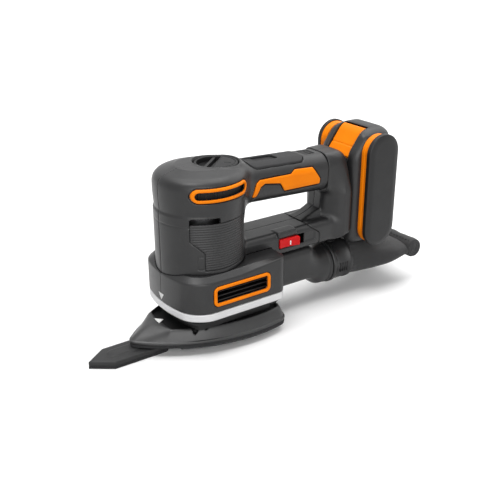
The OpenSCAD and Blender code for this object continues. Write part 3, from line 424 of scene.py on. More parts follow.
def new_piece(name, points, faces, body, material, stands_for=(), smooth=True):
    """A mesh piece from points in millimetres, riding on a body."""
    mesh = bpy.data.meshes.new(name)
    mesh.from_pydata((np.asarray(points, float) * MM).tolist(), [], [list(map(int, f)) for f in faces])
    return ride_piece(name, mesh, body, material, stands_for, smooth)


def ride_piece(name, mesh, body, material, stands_for=(), smooth=True):
    mesh.update()
    mesh.materials.clear()
    mesh.materials.append(material)
    if smooth:
        mesh.shade_smooth()
    piece = bpy.data.objects.new(name, mesh)
    scene.collection.objects.link(piece)
    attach(piece, body)
    for node in stands_for:
        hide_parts(node)
    return piece


def skinned(name, field, low, high, step, body, material, stands_for=()):
    points, faces = skin(field, low, high, step)
    return new_piece(name, points, faces, body, material, stands_for)


def reflected(field):
    """The same form on the tool's other side."""
    return lambda x, y, z: field(x, -y, z)


SIDES = ("left", "right")


def one_side(name, side, field, low, high, step, body, material, node=None):
    """A skinned piece as drawn, on the left, or its mirror image on the right."""
    if side == "right":
        field, low, high = reflected(field), (low[0], -high[1], low[2]), (high[0], -low[1], high[2])
    skinned(name + side, field, low, high, step, body, material, [node + side] if node else [])


def rounded_bar(name, low, high, r):
    """A small block with rounded edges, as a mesh."""
    form = bmesh.new()
    bmesh.ops.create_cube(form, size=1.0)
    size, middle = np.subtract(high, low) * MM, np.add(high, low) * MM / 2
    bmesh.ops.scale(form, vec=Vector(size), verts=form.verts)
    bmesh.ops.translate(form, vec=Vector(middle), verts=form.verts)
    bmesh.ops.bevel(form, geom=form.edges[:], offset=r * MM, segments=2, affect="EDGES")
    mesh = bpy.data.meshes.new(name)
    form.to_mesh(mesh)
    form.free()
    return mesh


def repeated(name, pattern, count, step, body, material):
    """A row of copies of a small form, made by geometry nodes."""
    tree = bpy.data.node_groups.new(name + "_row", "GeometryNodeTree")
    ends = {}
    sockets = (("Pattern", "Geometry"), ("Count", "Int"), ("Step", "Vector"), ("Finish", "Material"))
    for label, kind in sockets:
        ends[label] = tree.interface.new_socket(label, in_out="INPUT", socket_type="NodeSocket" + kind)
    tree.interface.new_socket("Row", in_out="OUTPUT", socket_type="NodeSocketGeometry")
    kinds = ("NodeGroupInput", "GeometryNodeMeshLine", "GeometryNodeInstanceOnPoints",
             "GeometryNodeRealizeInstances", "GeometryNodeSetMaterial", "NodeGroupOutput")
    start, line, copies, solid, finish, end = [tree.nodes.new(kind) for kind in kinds]
    line.mode = "OFFSET"
    for out, into in ((start.outputs["Count"], line.inputs["Count"]),
                      (start.outputs["Step"], line.inputs["Offset"]),
                      (line.outputs["Mesh"], copies.inputs["Points"]),
                      (start.outputs["Pattern"], copies.inputs["Instance"]),
                      (copies.outputs["Instances"], solid.inputs["Geometry"]),
                      (solid.outputs["Geometry"], finish.inputs["Geometry"]),
                      (start.outputs["Finish"], finish.inputs["Material"]),
                      (finish.outputs["Geometry"], end.inputs["Row"])):
        tree.links.new(out, into)
    work = bpy.data.objects.new(name, pattern)
    scene.collection.objects.link(work)
    row = work.modifiers.new("row", "NODES")
    row.node_group = tree
    row[ends["Count"].identifier] = count
    row[ends["Step"].identifier] = [v * MM for v in step]
    row[ends["Finish"].identifier] = material
    done = bpy.data.meshes.new_from_object(work.evaluated_get(bpy.context.evaluated_depsgraph_get()))
    bpy.data.objects.remove(work)
    return ride_piece(name, done, body, material)


def repaint(piece, material, where):
    """Give the faces picked by their middle, in millimetres, another finish."""
    faces = piece.data.polygons
    middles = np.empty(len(faces) * 3)
    faces.foreach_get("center", middles)
    picked = where(*(middles.reshape(-1, 3).T / MM))
    piece.data.materials.append(material)
    faces.foreach_set("material_index", picked.astype(np.int32))


PRINT_STEPS, PRINT_RISE, PRINT_DEPTH, PRINT_ROUNDS, PRINT_PACE = 14, 0.12, 0.5, 60, 0.6


def printed(name, corners, along, field, body, material):
    """A printed triangle laid on a field's surface, looked for along a direction from the given corners."""
    steps = PRINT_STEPS
    a, b, c = (np.array(corner, float) for corner in corners)
    grid = [(i / steps, j / steps) for i in range(steps + 1) for j in range(steps + 1 - i)]
    rows = {spot: k for k, spot in enumerate(grid)}
    flat = np.array([a + (b - a) * u + (c - a) * v for u, v in grid])
    along = np.array(along, float)
    reach_on = np.zeros(len(flat))
    for _ in range(PRINT_ROUNDS):
        p = (flat + along * reach_on[:, None]).T
        reach_on += PRINT_PACE * (field(p[0], p[1], p[2]) - PRINT_RISE)
    top = flat + along * reach_on[:, None]
    points, faces, n = np.vstack([top, top + along * PRINT_DEPTH]), [], len(grid)
    key = lambda i, j: rows[(i / steps, j / steps)]
    for i in range(steps):
        for j in range(steps - i):
            faces.append((key(i, j), key(i + 1, j), key(i, j + 1)))
            if j < steps - i - 1:
                faces.append((key(i + 1, j), key(i + 1, j + 1), key(i, j + 1)))
    edge = ([key(i, 0) for i in range(steps)] + [key(steps - j, j) for j in range(steps)]
            + [key(0, steps - i) for i in range(steps)])
    faces += [tuple(k + n for k in reversed(f)) for f in faces]
    for p, q in zip(edge, edge[1:] + edge[:1]):
        faces.append((q, p, p + n, q + n))
    normal = np.cross(b - a, c - a)
    if normal @ along > 0:
        faces = [tuple(reversed(f)) for f in faces]
    return new_piece(name, points, faces, body, material, smooth=False)


def keep(material, *nodes):
    """CAD nodes that stay as they are, with a finish."""
    for node in nodes:
        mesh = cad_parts[node].data
        mesh.materials.clear()
        mesh.materials.append(material)


# ---------------------------------------------------------------- body: head, handle and arm

def handle_place(x, z):
    c, s = math.cos(HANDLE_FALL), math.sin(HANDLE_FALL)
    return x * c - (z - HANDLE_Z) * s, x * s + (z - HANDLE_Z) * c


def handle_form(x, y, z, start=20.0, end=HANDLE_END, r=0.6):
    along, up = handle_place(x, z)
    return extruded(rounded_rect(y, up, HANDLE_W, HANDLE_H, HANDLE_ROUND), along, start, end, r)


def arm_form(x, y, z):
    return rounded_rect(y, z - ARM_MID, ARM_W, ARM_H, ARM_ROUND) + 0.0 * x


SEAM_X, SEAM_LEAN, SEAM_BEND, SEAM_STEEP = 119.4, 12.4, 71.5, 0.6


def arm_seam(z):
    """Where the arm ends and the tower's foot starts: upright below, leaning forward above."""
    rise = np.clip((z - SEAM_BEND) / (ARM_TOP - SEAM_BEND), 0.0, 1.0)
    return SEAM_X - SEAM_LEAN * smoothed(rise)


WAIST_LOW, WAIST_TOP = 57.0, 122.0
CAP_FLAT_R, CAP_SLOPE, CAP_EDGE, CAP_TAPER, TAPER_TOP = 22.0, 0.28, 8.5, 0.17, 126.0
DIAL_SEAT_R, NECK_GROOVE_R = 22.6, 0.7


def waist_out(x, y):
    return np.hypot(x - WAIST_X, y) - WAIST_R


def head_form(x, y, z):
    """A round waist under a wider cap with a sloping top and a tapered lower edge."""
    out = np.hypot(x, y)
    waist = extruded(waist_out(x, y), z, WAIST_LOW, WAIST_TOP, 1.0)
    slope = (z - HEAD_TOP + CAP_SLOPE * np.maximum(out - CAP_FLAT_R, 0.0)) * 0.963
    taper = (out - CAP_R + CAP_TAPER * (TAPER_TOP - z)) * 0.985
    cap = eased(eased(eased(out - CAP_R, slope, CAP_EDGE), taper, 3.0), CAP_LOW - 6.0 - z, 1.0)
    dial_seat = extruded(np.hypot(x - DIAL_X, y) - DIAL_SEAT_R, z, 120.0, HEAD_TOP - 0.6, 2.5)
    head = fillet(waist, fillet(cap, dial_seat, 3.0), 1.5)
    return cut(head, np.hypot(z - CAP_LOW, waist_out(x, y) - 0.3) - NECK_GROOVE_R, 0.4)


def body_form(x, y, z):
    form = fillet(head_form(x, y, z), handle_form(x, y, z), 9.0)
    arm = eased(arm_form(x, y, z), hard_and(20.0 - x, (x - arm_seam(z)) * SEAM_STEEP), 0.7)
    over_deck = block(x, y, z, (-90, -90, 0), (DECK_BACK + 0.2, 90, LEDGE_TOP))
    arm = cut(arm, over_deck)
    return fillet(form, arm, 4.0)


VENT_Z, VENT_W, VENT_H, RING_BAR = 141.2, 56.0, 12.0, 2.6
INLAY = [(50.5, 136.9), (85.7, 136.2), (90.5, 139.3), (110.1, 138.0), (118.0, 126.9), (117.9, 123.3),
         (78.7, 124.0), (73.8, 132.1), (55.1, 135.3), (49.9, 132.6), (45.4, 124.1), (43.7, 124.0),
         (47.5, 134.6)]
INLAY_ROUND = 1.2
SIDE_PANEL = [(-29, 116), (-29, 100), (-18.5, 89.5), (-18.5, 73), (26, 73), (26, 116)]
GRIP_X, GRIP_LEN, GRIP_W, GRIP_ROUND = 75.0, 62.0, 31.0, 8.0
GRIP_WELL_X, GRIP_WELL_LEN, GRIP_WELL_W = 64.0, 34.0, 12.5
CLIP_X, CLIP_LEN, CLIP_W, CLIP_ROUND = 117.5, 13.0, 15.0, 2.5
SLOT_X, SLOT_Z, SLOT_LEN, SLOT_H = -16.7, 117.4, 24.0, 6.6
MARK_X, MARK_Z, MARK_W, MARK_H = -21.5, 80.5, 4.6, 12.0
HOOD_LOW, HOOD_HIGH = (68.8, -24.4, 78.2), (91.0, -12.0, 83.7)
ROCKER_HOLE_LEN, ROCKER_HOLE_H, STEP_X, STEP_LEN, STEP_H = 30.4, 10.4, 107.0, 14.0, 9.6
SCREWS = [(58.0, 132.25, 15.0), (108.0, 130.25, 15.0), (104.0, 71.5, 17.0), (-30.0, 91.0, 20.0),
          (-30.0, 129.0, 20.0)]
SCREW_HOLE_R = 3.4
SIDE_Y = 15.0


def vent_slot(x, z, grow):
    return rounded_rect(x, z - VENT_Z, VENT_W + 2 * grow, VENT_H + 2 * grow, VENT_H / 2 + grow)


def grip_plan(x, y, grow):
    return rounded_rect(x - GRIP_X, y, GRIP_LEN + 2 * grow, GRIP_W + 2 * grow, GRIP_ROUND + grow)


def inlay_shape(x, z):
    return outline(x, z, INLAY) - INLAY_ROUND


def body_shell(x, y, z, rocker):
    """The left half, at y below 0, with the rocker's hole and hood, or without them and with screw holes."""
    outer = body_form(x, y, z)
    head = head_form(x, y, z)
    out = waist_out(x, y)
    form = outer
    if rocker:
        form = fillet(form, block(x, y, z, HOOD_LOW, HOOD_HIGH, 1.3), 1.2)
    form = cut(form, outer + WALL)
    form = cut(form, extruded(out + WALL, z, 40, 76))
    dial_out = np.hypot(x - DIAL_X, y) - DIAL_R
    form = cut(form, extruded(dial_out - 0.5, z, DIAL_TOP - 6.8, 180))
    form = cut(form, extruded(dial_out - 1.2, z, DIAL_TOP - 0.1, 180), 0.6)
    side = y + SIDE_Y
    form = cut(form, hard_and(vent_slot(x, z, 0.8), side, -1.6 - head))
    form = cut(form, hard_and(vent_slot(x, z, -RING_BAR + 0.2), side, z - 152))
    form = cut(form, hard_and(outline(x, z, SIDE_PANEL), side, -1.0 - out, z - 118))
    slot = rounded_rect(x - SLOT_X, z - SLOT_Z, SLOT_LEN, SLOT_H, 1.6)
    form = cut(form, hard_and(slot, side, -3.0 - out))
    mark = np.abs(rounded_rect(x - MARK_X, z - MARK_Z, MARK_W, MARK_H, 1.0)) - 0.35
    form = cut(form, hard_and(mark, side, -0.5 - out))
    form = cut(form, hard_and(inlay_shape(x, z) - 1.0, y + 5, -1.5 - outer))
    form = cut(form, hard_and(grip_plan(x, y, 0.7), HANDLE_Z - z, -1.7 - outer))
    clip = rounded_rect(x - CLIP_X, y, CLIP_LEN, CLIP_W, CLIP_ROUND)
    form = cut(form, hard_and(clip, HANDLE_Z - z, -1.1 - outer), 0.4)
    if rocker:
        hole = rounded_rect(x - SWITCH_X - 3.2, z - SWITCH_Z, ROCKER_HOLE_LEN, ROCKER_HOLE_H, 1.0)
        form = cut(form, hard_and(hole, y + 17.8), 0.5)
        step = rounded_rect(x - STEP_X, z - SWITCH_Z - 0.4, STEP_LEN, STEP_H, 0.8)
        form = cut(form, hard_and(step, y + 22.1), 0.3)
    else:
        for sx, sz, seat in SCREWS:
            form = cut(form, hard_and(np.hypot(x - sx, z - sz) - SCREW_HOLE_R, seat + y))
    return hard_and(form, y + SEAM)


def make_body():
    for side in SIDES:
        one_side("head_and_handle_", side, lambda x, y, z: body_shell(x, y, z, side == "left"),
                 (-44.5, -46.0, 55.5), (133.0, 1.0, 160.0), 0.8, "housing", charcoal, "body_")


# ---------------------------------------------------------------- deck

DECK_HALF_W, DECK_FRONT, DECK_BACK, DECK_FRONT_R = 47.0, 43.2, 62.0, 116.0
DECK_CORNER_R, DECK_REAR_R, BAND_LOW, BAND_TOP, BAND_T = 26.0, 8.0, 29.0, 36.1, 3.0
DECK_VENT = (13.3, 51.3, 60.0, 18.8)
SHOULDER_X, SHOULDER_Z = (-44.0, 14.0, 37.0, 55.0), (65.0, 65.2, 68.4, 70.6)
SHOULDER_W, SHOULDER_STEEP = 5.8, 0.76
LEDGE_X, LEDGE_Z, LEDGE_UNDER = (12.0, 30.0), (70.0, LEDGE_TOP), 64.8
GROOVE_X, GROOVE_W, GROOVE_LOW = (-42.0, -34.0), (0.25, 0.8), 58.0


def deck_outline(k=0.0):
    corner_y, rear_y = DECK_HALF_W - DECK_CORNER_R, DECK_HALF_W - DECK_REAR_R
    centre = DECK_FRONT_R - DECK_FRONT
    corner_x = centre - math.sqrt((DECK_FRONT_R - DECK_CORNER_R) ** 2 - corner_y ** 2)
    turn = math.degrees(math.asin(corner_y / (DECK_FRONT_R - DECK_CORNER_R)))
    lower = (arc(centre, 0, DECK_FRONT_R - k, 180, 180 + turn - 1, 10)
             + arc(corner_x, -corner_y, DECK_CORNER_R - k, 180 + turn, 270, 16)
             + arc(DECK_BACK - DECK_REAR_R, -rear_y, DECK_REAR_R - k, 270, 360, 10))
    return lower + mirrored(lower[1:])


def deck_vent(x, z, grow):
    cx, cz, w, h = DECK_VENT
    return rounded_rect(x - cx, z - cz, w + 2 * grow, h + 2 * grow, 5.0 + grow)


def deck_form(x, y, z):
    """A skirt with a chamfered shoulder round a flat ledge, both climbing toward the arm."""
    edge = outline(x, y, deck_outline())
    low, high = np.interp(x, SHOULDER_X, SHOULDER_Z), np.interp(x, LEDGE_X, LEDGE_Z)
    top = low + (high - low) * np.clip(-edge / SHOULDER_W, 0.0, 1.0)
    form = eased(edge, (z - top) * SHOULDER_STEEP, 0.9)
    return eased(form, DECK_LOW - z, 0.8)


def deck_shell(x, y, z):
    form = deck_form(x, y, z)
    edge = outline(x, y, deck_outline())
    out = waist_out(x, y)
    groove = np.interp(x, GROOVE_X, GROOVE_W)
    form = cut(form, hard_and(edge + WALL, z - LEDGE_UNDER))
    form = cut(form, extruded(out - groove, z, GROOVE_LOW, 120.0), 0.4)
    form = cut(form, extruded(out + WALL, z, 0.0, 120.0))
    form = cut(form, block(x, y, z, (30.0, -23.3, ARM_LOW + 1), (90.0, 23.3, 120.0)))
    form = cut(form, hard_and(deck_vent(x, z, 0.3), y + DECK_HALF_W - 1.4))
    form = cut(form, hard_and(deck_vent(x, z, -2.8), y + 40.0))
    form = cut(form, block(x, y, z, (56.0, -15.2, 41.9), (70.0, 15.2, 57.1)))
    return hard_and(form, y + SEAM)


def make_deck():
    printed("deck_arrow", [(-48.0, 4.4, 44.7), (-48.0, -4.4, 44.7), (-48.0, 0.0, 38.4)], (1, 0, 0),
            deck_form, "housing", white)
    for side in SIDES:
        one_side("deck_skirt_", side, deck_shell, (-45.0, -48.5, 35.0), (63.5, 1.0, 73.0), 0.7,
                 "housing", charcoal, "deck_")


# ---------------------------------------------------------------- tower and duct

CREASE_Z, NECK_Z = 109.0, TOWER_TOP - 17.0
TOWER_ELBOW = arc(TOWER_BACK - ELBOW_R, TOWER_TOP - ELBOW_R, ELBOW_R, 90, 0, 14)
TOWER_SIDE = ([(107.0, ARM_TOP - 0.5), (129.8, 91.6), (131.2, 107.0), (131.2, TOWER_TOP - 0.15)]
              + TOWER_ELBOW[2:] + [(TOWER_BACK, 66.0), (143.0, 62.0), (118.2, ARM_LOW), (118.2, ARM_TOP)])
TOWER_PLAN = [(108.0, 9.0), (130.4, 11.0), (146.0, 30.0), (TOWER_BACK, 30.0)]
TOWER_REAR = [(30.0, 40.0), (30.0, CREASE_Z), (23.0, NECK_Z), (14.0, TOWER_TOP)]
ELBOW_SIDE = [(104.0, ARM_TOP), (104.0, 148.55), (130.0, 147.45)] + TOWER_ELBOW + [(TOWER_BACK, ARM_TOP)]
FOOT_SIDE = [(104.0, ARM_LOW), (104.0, 88.0), (TOWER_BACK, 88.0), (TOWER_BACK, 66.0), (143.0, 62.0),
             (122.0, ARM_LOW)]
POST_SUNK = 2.2
TERMINAL_LOW, TERMINAL_HIGH = (141.0, -9.2, 76.3), (170.0, 9.2, 98.7)
RAIL_LOW, RAIL_TOP, RAIL_INNER, RAIL_BACK = 72.5, 118.5, -12.0, 162.0


def tower_form(x, y, z):
    """A post and the handle's bend above it, which carries the handle's rounded edges down to the post."""
    plan = outline(x, y, TOWER_PLAN + mirrored(TOWER_PLAN))
    rear = outline(y, z, TOWER_REAR + [(-u, v) for u, v in reversed(TOWER_REAR)])
    sunk = POST_SUNK * np.clip((z - 118.0) / 16.0, 0.0, 1.0)
    post = eased(eased(outline(x, z, TOWER_SIDE) + sunk, plan, 3.0), rear, 7.0)
    along, up = handle_place(x, z)
    bend = eased(outline(x, z, ELBOW_SIDE), np.abs(y) - HANDLE_W / 2, HANDLE_ROUND)
    elbow = eased(eased(bend, -up - HANDLE_H / 2, 8.0), HANDLE_END + 0.2 - along, 0.6)
    foot_side = hard_and(outline(x, z, FOOT_SIDE), (arm_seam(z) + 0.2 - x) * SEAM_STEEP)
    foot = eased(arm_form(x, y, z), foot_side, 1.0)
    form = fillet(fillet(post, elbow, 6.0), foot, 5.0)
    return cut(form, body_form(x, y, z) - 0.25)


def tower_shell(x, y, z):
    form = hard_and(tower_form(x, y, z), x - TOWER_BACK)
    form = cut(form, block(x, y, z, TERMINAL_LOW, TERMINAL_HIGH))
    rail_end = (RAIL_BACK, RAIL_INNER, RAIL_TOP)
    web = block(x, y, z, (150.0, -16.0, RAIL_LOW), rail_end, 0.5)
    lip = block(x, y, z, (159.9, -19.0, RAIL_LOW), rail_end, 0.5)
    return hard_and(np.minimum(form, np.minimum(web, lip)), y + SEAM)


def make_tower():
    for side in SIDES:
        one_side("tower_shell_", side, tower_shell, (102.0, -31.5, 57.0), (163.5, 1.0, 150.0), 0.7,
                 "housing", charcoal, "tower_")


DUCT_Z, DUCT_W, DUCT_H, DUCT_ROUND, DUCT_START = 39.9, 40.0, 36.8, 8.0, 63.6
MORPH_X, MORPH_LEN = 110.0, 22.0
SPIGOT_R, SPIGOT_END, BORE_R = 17.0, 158.0, 14.4
TONGUE_LOW, TONGUE_HIGH = (59.4, -15.0, 42.0), (66.0, 15.0, 57.0)


def duct_form(x, y, z):
    """A rounded box at the deck that turns into the round port."""
    t = smoothed(np.clip((x - MORPH_X) / MORPH_LEN, 0.0, 1.0))
    box, out = rounded_rect(y, z - DUCT_Z, DUCT_W, DUCT_H, DUCT_ROUND), np.hypot(y, z - PORT_Z) - PORT_R
    form = extruded(box * (1.0 - t) + out * t, x, DUCT_START, PORT_END, 1.0)
    lip = extruded(out - 0.5, x, PORT_END - 4.0, PORT_END, 0.8)
    return fillet(form, lip, 0.8)


def duct_shell(x, y, z):
    out = np.hypot(y, z - PORT_Z)
    form = np.minimum(duct_form(x, y, z), extruded(out - SPIGOT_R, x, 130.0, SPIGOT_END, 0.6))
    form = np.minimum(form, block(x, y, z, TONGUE_LOW, TONGUE_HIGH, 0.6))
    return cut(form, extruded(out - BORE_R, x, 128.0, 170.0))


def make_duct():
    skinned("dust_channel", duct_shell, (58.0, -22.5, 5.5), (159.5, 22.5, 61.0), 0.75,
            "housing", charcoal, ["dust_duct"])


# ---------------------------------------------------------------- trims on the housing

RIB_H, MESH_H, MESH_PITCH = 0.16, 0.5, 2.4
FRAME_BAR, FRAME_OUT, FRAME_IN = 3.0, 0.8, 1.3
LOUVRE_Y, LOUVRE_COUNT, LOUVRE_PITCH = 45.2, 3, 4.3


def vent_ring(x, y, z):
    bar = np.abs(vent_slot(x, z, -RING_BAR / 2)) - RING_BAR / 2
    return extruded(hard_and(bar, y + 10), head_form(x, y, z), -1.5, 0.6, 0.7)


# A black corrugated sheet behind the cap's vent slots: painted shade, standing in for the dark inside of the
# vent.
def vent_shade_sheet(x, y, z):
    mesh = MESH_H * np.cos(x * 2 * math.pi / MESH_PITCH)
    return extruded(hard_and(vent_slot(x, z, 1.5), y + 21.2), head_form(x, y, z) + mesh, -6.0, -4.4, 0.3)


def waist_panel(x, y, z):
    edge = outline(x, z, SIDE_PANEL)
    ribs = np.where(edge < -2.0, RIB_H * np.cos(z * 2 * math.pi / RIB_PITCH), 0.0)
    return extruded(hard_and(edge + 0.35, y + SIDE_Y), waist_out(x, y) - ribs, -1.4, 0.0, 0.3)


def vent_frame(x, y, z):
    bar = np.abs(deck_vent(x, z, -FRAME_BAR / 2)) - FRAME_BAR / 2
    return extruded(bar, y, -DECK_HALF_W - FRAME_OUT, -DECK_HALF_W + FRAME_IN, 0.7)


def inlay(x, y, z):
    return extruded(hard_and(inlay_shape(x, z), y + 5), body_form(x, y, z), -1.4, 0.5, 0.5)


def screwed_inlay(x, y, z):
    """The right side's inlay, cut clear of the front screw."""
    screw_x, screw_z, _ = SCREWS[0]
    return cut(inlay(x, y, z), np.hypot(x - screw_x, z - screw_z) - SCREW_HOLE_R - 0.7 + 0.0 * y, 0.4)


def grip(x, y, z):
    well = rounded_rect(x - GRIP_WELL_X, y, GRIP_WELL_LEN, GRIP_WELL_W, 3.0)
    plan = cut(hard_and(grip_plan(x, y, -0.1), HANDLE_Z - z), well, 0.8)
    return extruded(plan, body_form(x, y, z), -1.6, 0.7, 0.6)


def grip_well(x, y, z):
    """The grip's floor, which drops by 1 mm behind its front end."""
    drop = np.clip(x - 57.0, 0.0, 1.0)
    floor = rounded_rect(x - GRIP_WELL_X, y, GRIP_WELL_LEN - 0.6, GRIP_WELL_W - 0.6, 2.8)
    return extruded(hard_and(floor, HANDLE_Z - z), body_form(x, y, z) + drop, -0.6, -0.1, 0.2)


def clip_well(x, y, z):
    """A sunk plate behind the grip with a small raised tab."""
    tab = 0.6 * np.clip(1.5 - np.abs(x - CLIP_X - 2.0), 0.0, 1.0) * (np.abs(y) < 4.5)
    plate = rounded_rect(x - CLIP_X, y, CLIP_LEN - 0.2, CLIP_W - 0.2, CLIP_ROUND - 0.1)
    return extruded(hard_and(plate, HANDLE_Z - z), body_form(x, y, z) - tab, -1.2, -0.8, 0.15)


def make_trims():
    for side, louvre_y in zip(SIDES, (-LOUVRE_Y, LOUVRE_Y)):
        one_side("cap_vent_ring_", side, vent_ring, (-30, -43.5, 132), (30, -26.0, 151), 0.45,
                 "housing", orange, "cap_vent_")
        # The black sheet behind the cap's vent is painted shade inside the vent.
        one_side("cap_vent_screen_", side, vent_shade_sheet, (-31, -39.5, 132), (31, -20.0, 150), 0.7,
                 "housing", black)
        one_side("waist_panel_", side, waist_panel, (-30.5, -41.5, 71), (27.5, -24.0, 118), RIB_PITCH / 4,
                 "housing", panel_black, "side_panel_")
        one_side("deck_vent_frame_", side, vent_frame, (-18, -49.0, 40.5), (45, -44.0, 62.5), 0.45,
                 "housing", orange, "deck_vent_")
        one_side("handle_inlay_", side, inlay if side == "left" else screwed_inlay, (41, -26.0, 120),
                 (121, -4.0, 142.5), 0.45, "housing", orange, "grip_inlay_")
        louvre = rounded_bar("louvre", (-15.5, louvre_y - 0.9, 46.6), (42.1, louvre_y + 0.9, 47.5), 0.3)
        repeated("deck_vent_louvres_" + side, louvre, LOUVRE_COUNT, (0.0, 0.0, LOUVRE_PITCH),
                 "housing", black)
    skinned("handle_grip", grip, (42, -17.5, 138), (108, 17.5, 156), 0.45,
            "housing", grip_rubber, ["grip_pad"])
    skinned("handle_grip_well", grip_well, (45, -8, 146), (83, 8, 154), 0.45, "housing", black)
    skinned("handle_clip_well", clip_well, (109.5, -9, 143), (125.5, 9, 152), 0.4, "housing", black)


# ---------------------------------------------------------------- sanding pad and finger

def pad_outline(k=0.0):
    """The pad's plan, drawn in by k: a rounded nose, two long curved sides and a shallow curved rear."""
    half_w, side_r, wide_x, rear, rear_r, nose_r, corner_r = 48.0, 146.0, 29.0, 73.0, 120.0, 7.0, 12.0
    sx, sy, rx = wide_x, side_r - half_w, rear - rear_r
    nose_x = wide_x - math.sqrt((side_r - nose_r) ** 2 - sy ** 2)
    nose_turn = math.degrees(math.atan2(sy, wide_x - nose_x))
    to_side, to_rear = side_r - corner_r, rear_r - corner_r
    apart = math.hypot(sx - rx, sy)
    along = (to_rear ** 2 - to_side ** 2 + apart ** 2) / (2 * apart)
    across = math.sqrt(to_rear ** 2 - along ** 2)
    ux, uy = (sx - rx) / apart, sy / apart
    cx, cy = rx + along * ux + across * uy, along * uy - across * ux
    side_end = math.degrees(math.atan2(cy - sy, cx - sx))
    rear_start = math.degrees(math.atan2(cy, cx - rx))
    lower = (arc(nose_x, 0, max(nose_r - k, 0.2), 180, 270 - nose_turn, 8)
             + arc(sx, sy, side_r - k, 270 - nose_turn + 1, 360 + side_end - 1, 28)
             + arc(cx, cy, max(corner_r - k, 0.5), side_end, rear_start, 10)
             + arc(rx, 0, rear_r - k, rear_start + 1, 0, 8))
    return lower + mirrored(lower[1:-1])


DOME_X = 12.0
DOME_FOOT, DOME_RISE, DOME_CURVE, DOME_LIP_Z = 7.4, 10.0, 1.8, 14.2
NOTCH_LOW, DUST_HOLE_R = 11.5, 4.5
PAD_NOTCHES = [(-26.6, -29.6, 3.0), (-17.5, -33.4, 1.5), (-26.6, 29.6, 3.0), (-17.5, 33.4, 1.5)]
DUST_HOLES = [(x, side * y) for x, y in ((-22.0, 18.0), (10.0, 34.0), (50.0, 26.0)) for side in (-1, 1)]


def reach(points):
    """How far a polygon reaches from the dome's middle, for each whole degree."""
    found = []
    for degree in range(-180, 181):
        dx, dy = math.cos(math.radians(degree)), math.sin(math.radians(degree))
        best = 0.0
        for (px, py), (qx, qy) in zip(points, points[1:] + points[:1]):
            px, qx, ex, ey = px - DOME_X, qx - DOME_X, qx - px, qy - py
            det = dx * -ey + dy * ex
            if abs(det) > 1e-12:
                r, t = (px * -ey + py * ex) / det, (dx * py - dy * px) / det
                if -1e-9 <= t <= 1 + 1e-9:
                    best = max(best, r)
        found.append(best)
    return np.array(found)


DEGREES = np.arange(-180.0, 181.0)
FOOT_REACH = reach(pad_outline(1.5))
TOP_REACH = np.minimum(reach(pad_outline(7.0)), reach(arc(14.0, 0.0, 62.0, 0, 350, 35)))


def dome_reach(x, y):
    """0 at the dome's foot, 1 at the edge of its top."""
    turn = np.degrees(np.arctan2(y, x - DOME_X))
    foot, top = np.interp(turn, DEGREES, FOOT_REACH), np.interp(turn, DEGREES, TOP_REACH)
    return (foot - np.hypot(x - DOME_X, y)) / (foot - top)


def dome_height(x, y):
    t = np.maximum(dome_reach(x, y), 0.0)
    t = fillet(t, 1.0, 0.12)
    return DOME_FOOT + DOME_RISE * (1.0 - np.maximum(1.0 - t, 0.0) ** DOME_CURVE)


def pad_field(x, y, z):
    edge = outline(x, y, pad_outline())
    rim = extruded(edge, z, 4.2, 7.2, 0.9)
    steep = np.where(x < -30.0, 0.62, 0.42)
    dome = hard_and(edge + 1.6, (z - dome_height(x, y)) * steep, 4.4 - z)
    return np.minimum(rim, dome)


def pad_shell(x, y, z):
    form = pad_field(x, y, z)
    form = cut(form, hard_and((1.10 - dome_reach(x, y)) * 8.0, DOME_LIP_Z - z), 0.8)
    for nx, ny, r in PAD_NOTCHES:
        form = cut(form, hard_and(np.hypot(x - nx, y - ny) - r, NOTCH_LOW - z), 0.4)
    form = np.minimum(form, extruded(np.hypot(x, y) - 12.0, z, 12.0, 20.4, 0.5))
    for hx, hy in DUST_HOLES:
        form = cut(form, np.hypot(x - hx, y - hy) - DUST_HOLE_R + 0.0 * z)
    return form


def pad_well(x, y, z):
    """Where the dome's hollow top and notches are, which are painted black: partly their own dark colour,
    partly painted shade in these recesses.
    """
    well = (dome_reach(x, y) > 1.07) & (z > 8.0)
    for nx, ny, r in PAD_NOTCHES:
        well = well | ((np.hypot(x - nx, y - ny) < r + 0.15) & (z > 8.0))
    return well


FINGER = ([(-118.0, 0.0), (-98.3, -14.25)] + arc(-49.0, -8.25, 6.0, 270, 360, 6)
          + arc(-49.0, 8.25, 6.0, 0, 90, 6) + [(-98.3, 14.25)])


def finger_shell(x, y, z):
    """A flat finger with bevelled edges and a low raised spine."""
    edge = outline(x, y, FINGER)
    slope = (edge * 0.32 + z + 0.9) * 0.95
    form = eased(eased(edge + 0.5, z, 0.8), hard_and(slope, -5.0 - z), 0.8)
    spine = extruded(rounded_rect(x + 78.0, y, 40.0, 11.0, 5.0), z, -2.0, 0.7, 0.9)
    seat = extruded(rounded_rect(x + 56.5, y, 26.0, 14.5, 3.0), z, -1.0, 1.6, 0.3)
    return np.minimum(fillet(form, spine, 1.5), seat)


def make_pad():
    dome = skinned("pad_dome", pad_shell, (-78.5, -49.5, 2.5), (74.5, 49.5, 22.0), 0.8,
                   "pad", pad_grey, ["pad_base"])
    # Black on the well and notches is partly their own colour and partly painted shade.
    repaint(dome, black, pad_well)
    printed("pad_arrow", [(-48.1, 6.9, 22.0), (-48.6, -3.4, 22.0), (-42.0, 0.7, 22.0)], (0, 0, -1),
            pad_field, "pad", white)
    skinned("finger_top", finger_shell, (-120, -16, -6.5), (-41, 16, 2.5), 0.5, "pad", finger_grey,
            ["finger_plate"])
    keep(foam, "pad_foam", "finger_foam")
    keep(hooks, "pad_hook_sheet")


# ---------------------------------------------------------------- platen and clamp

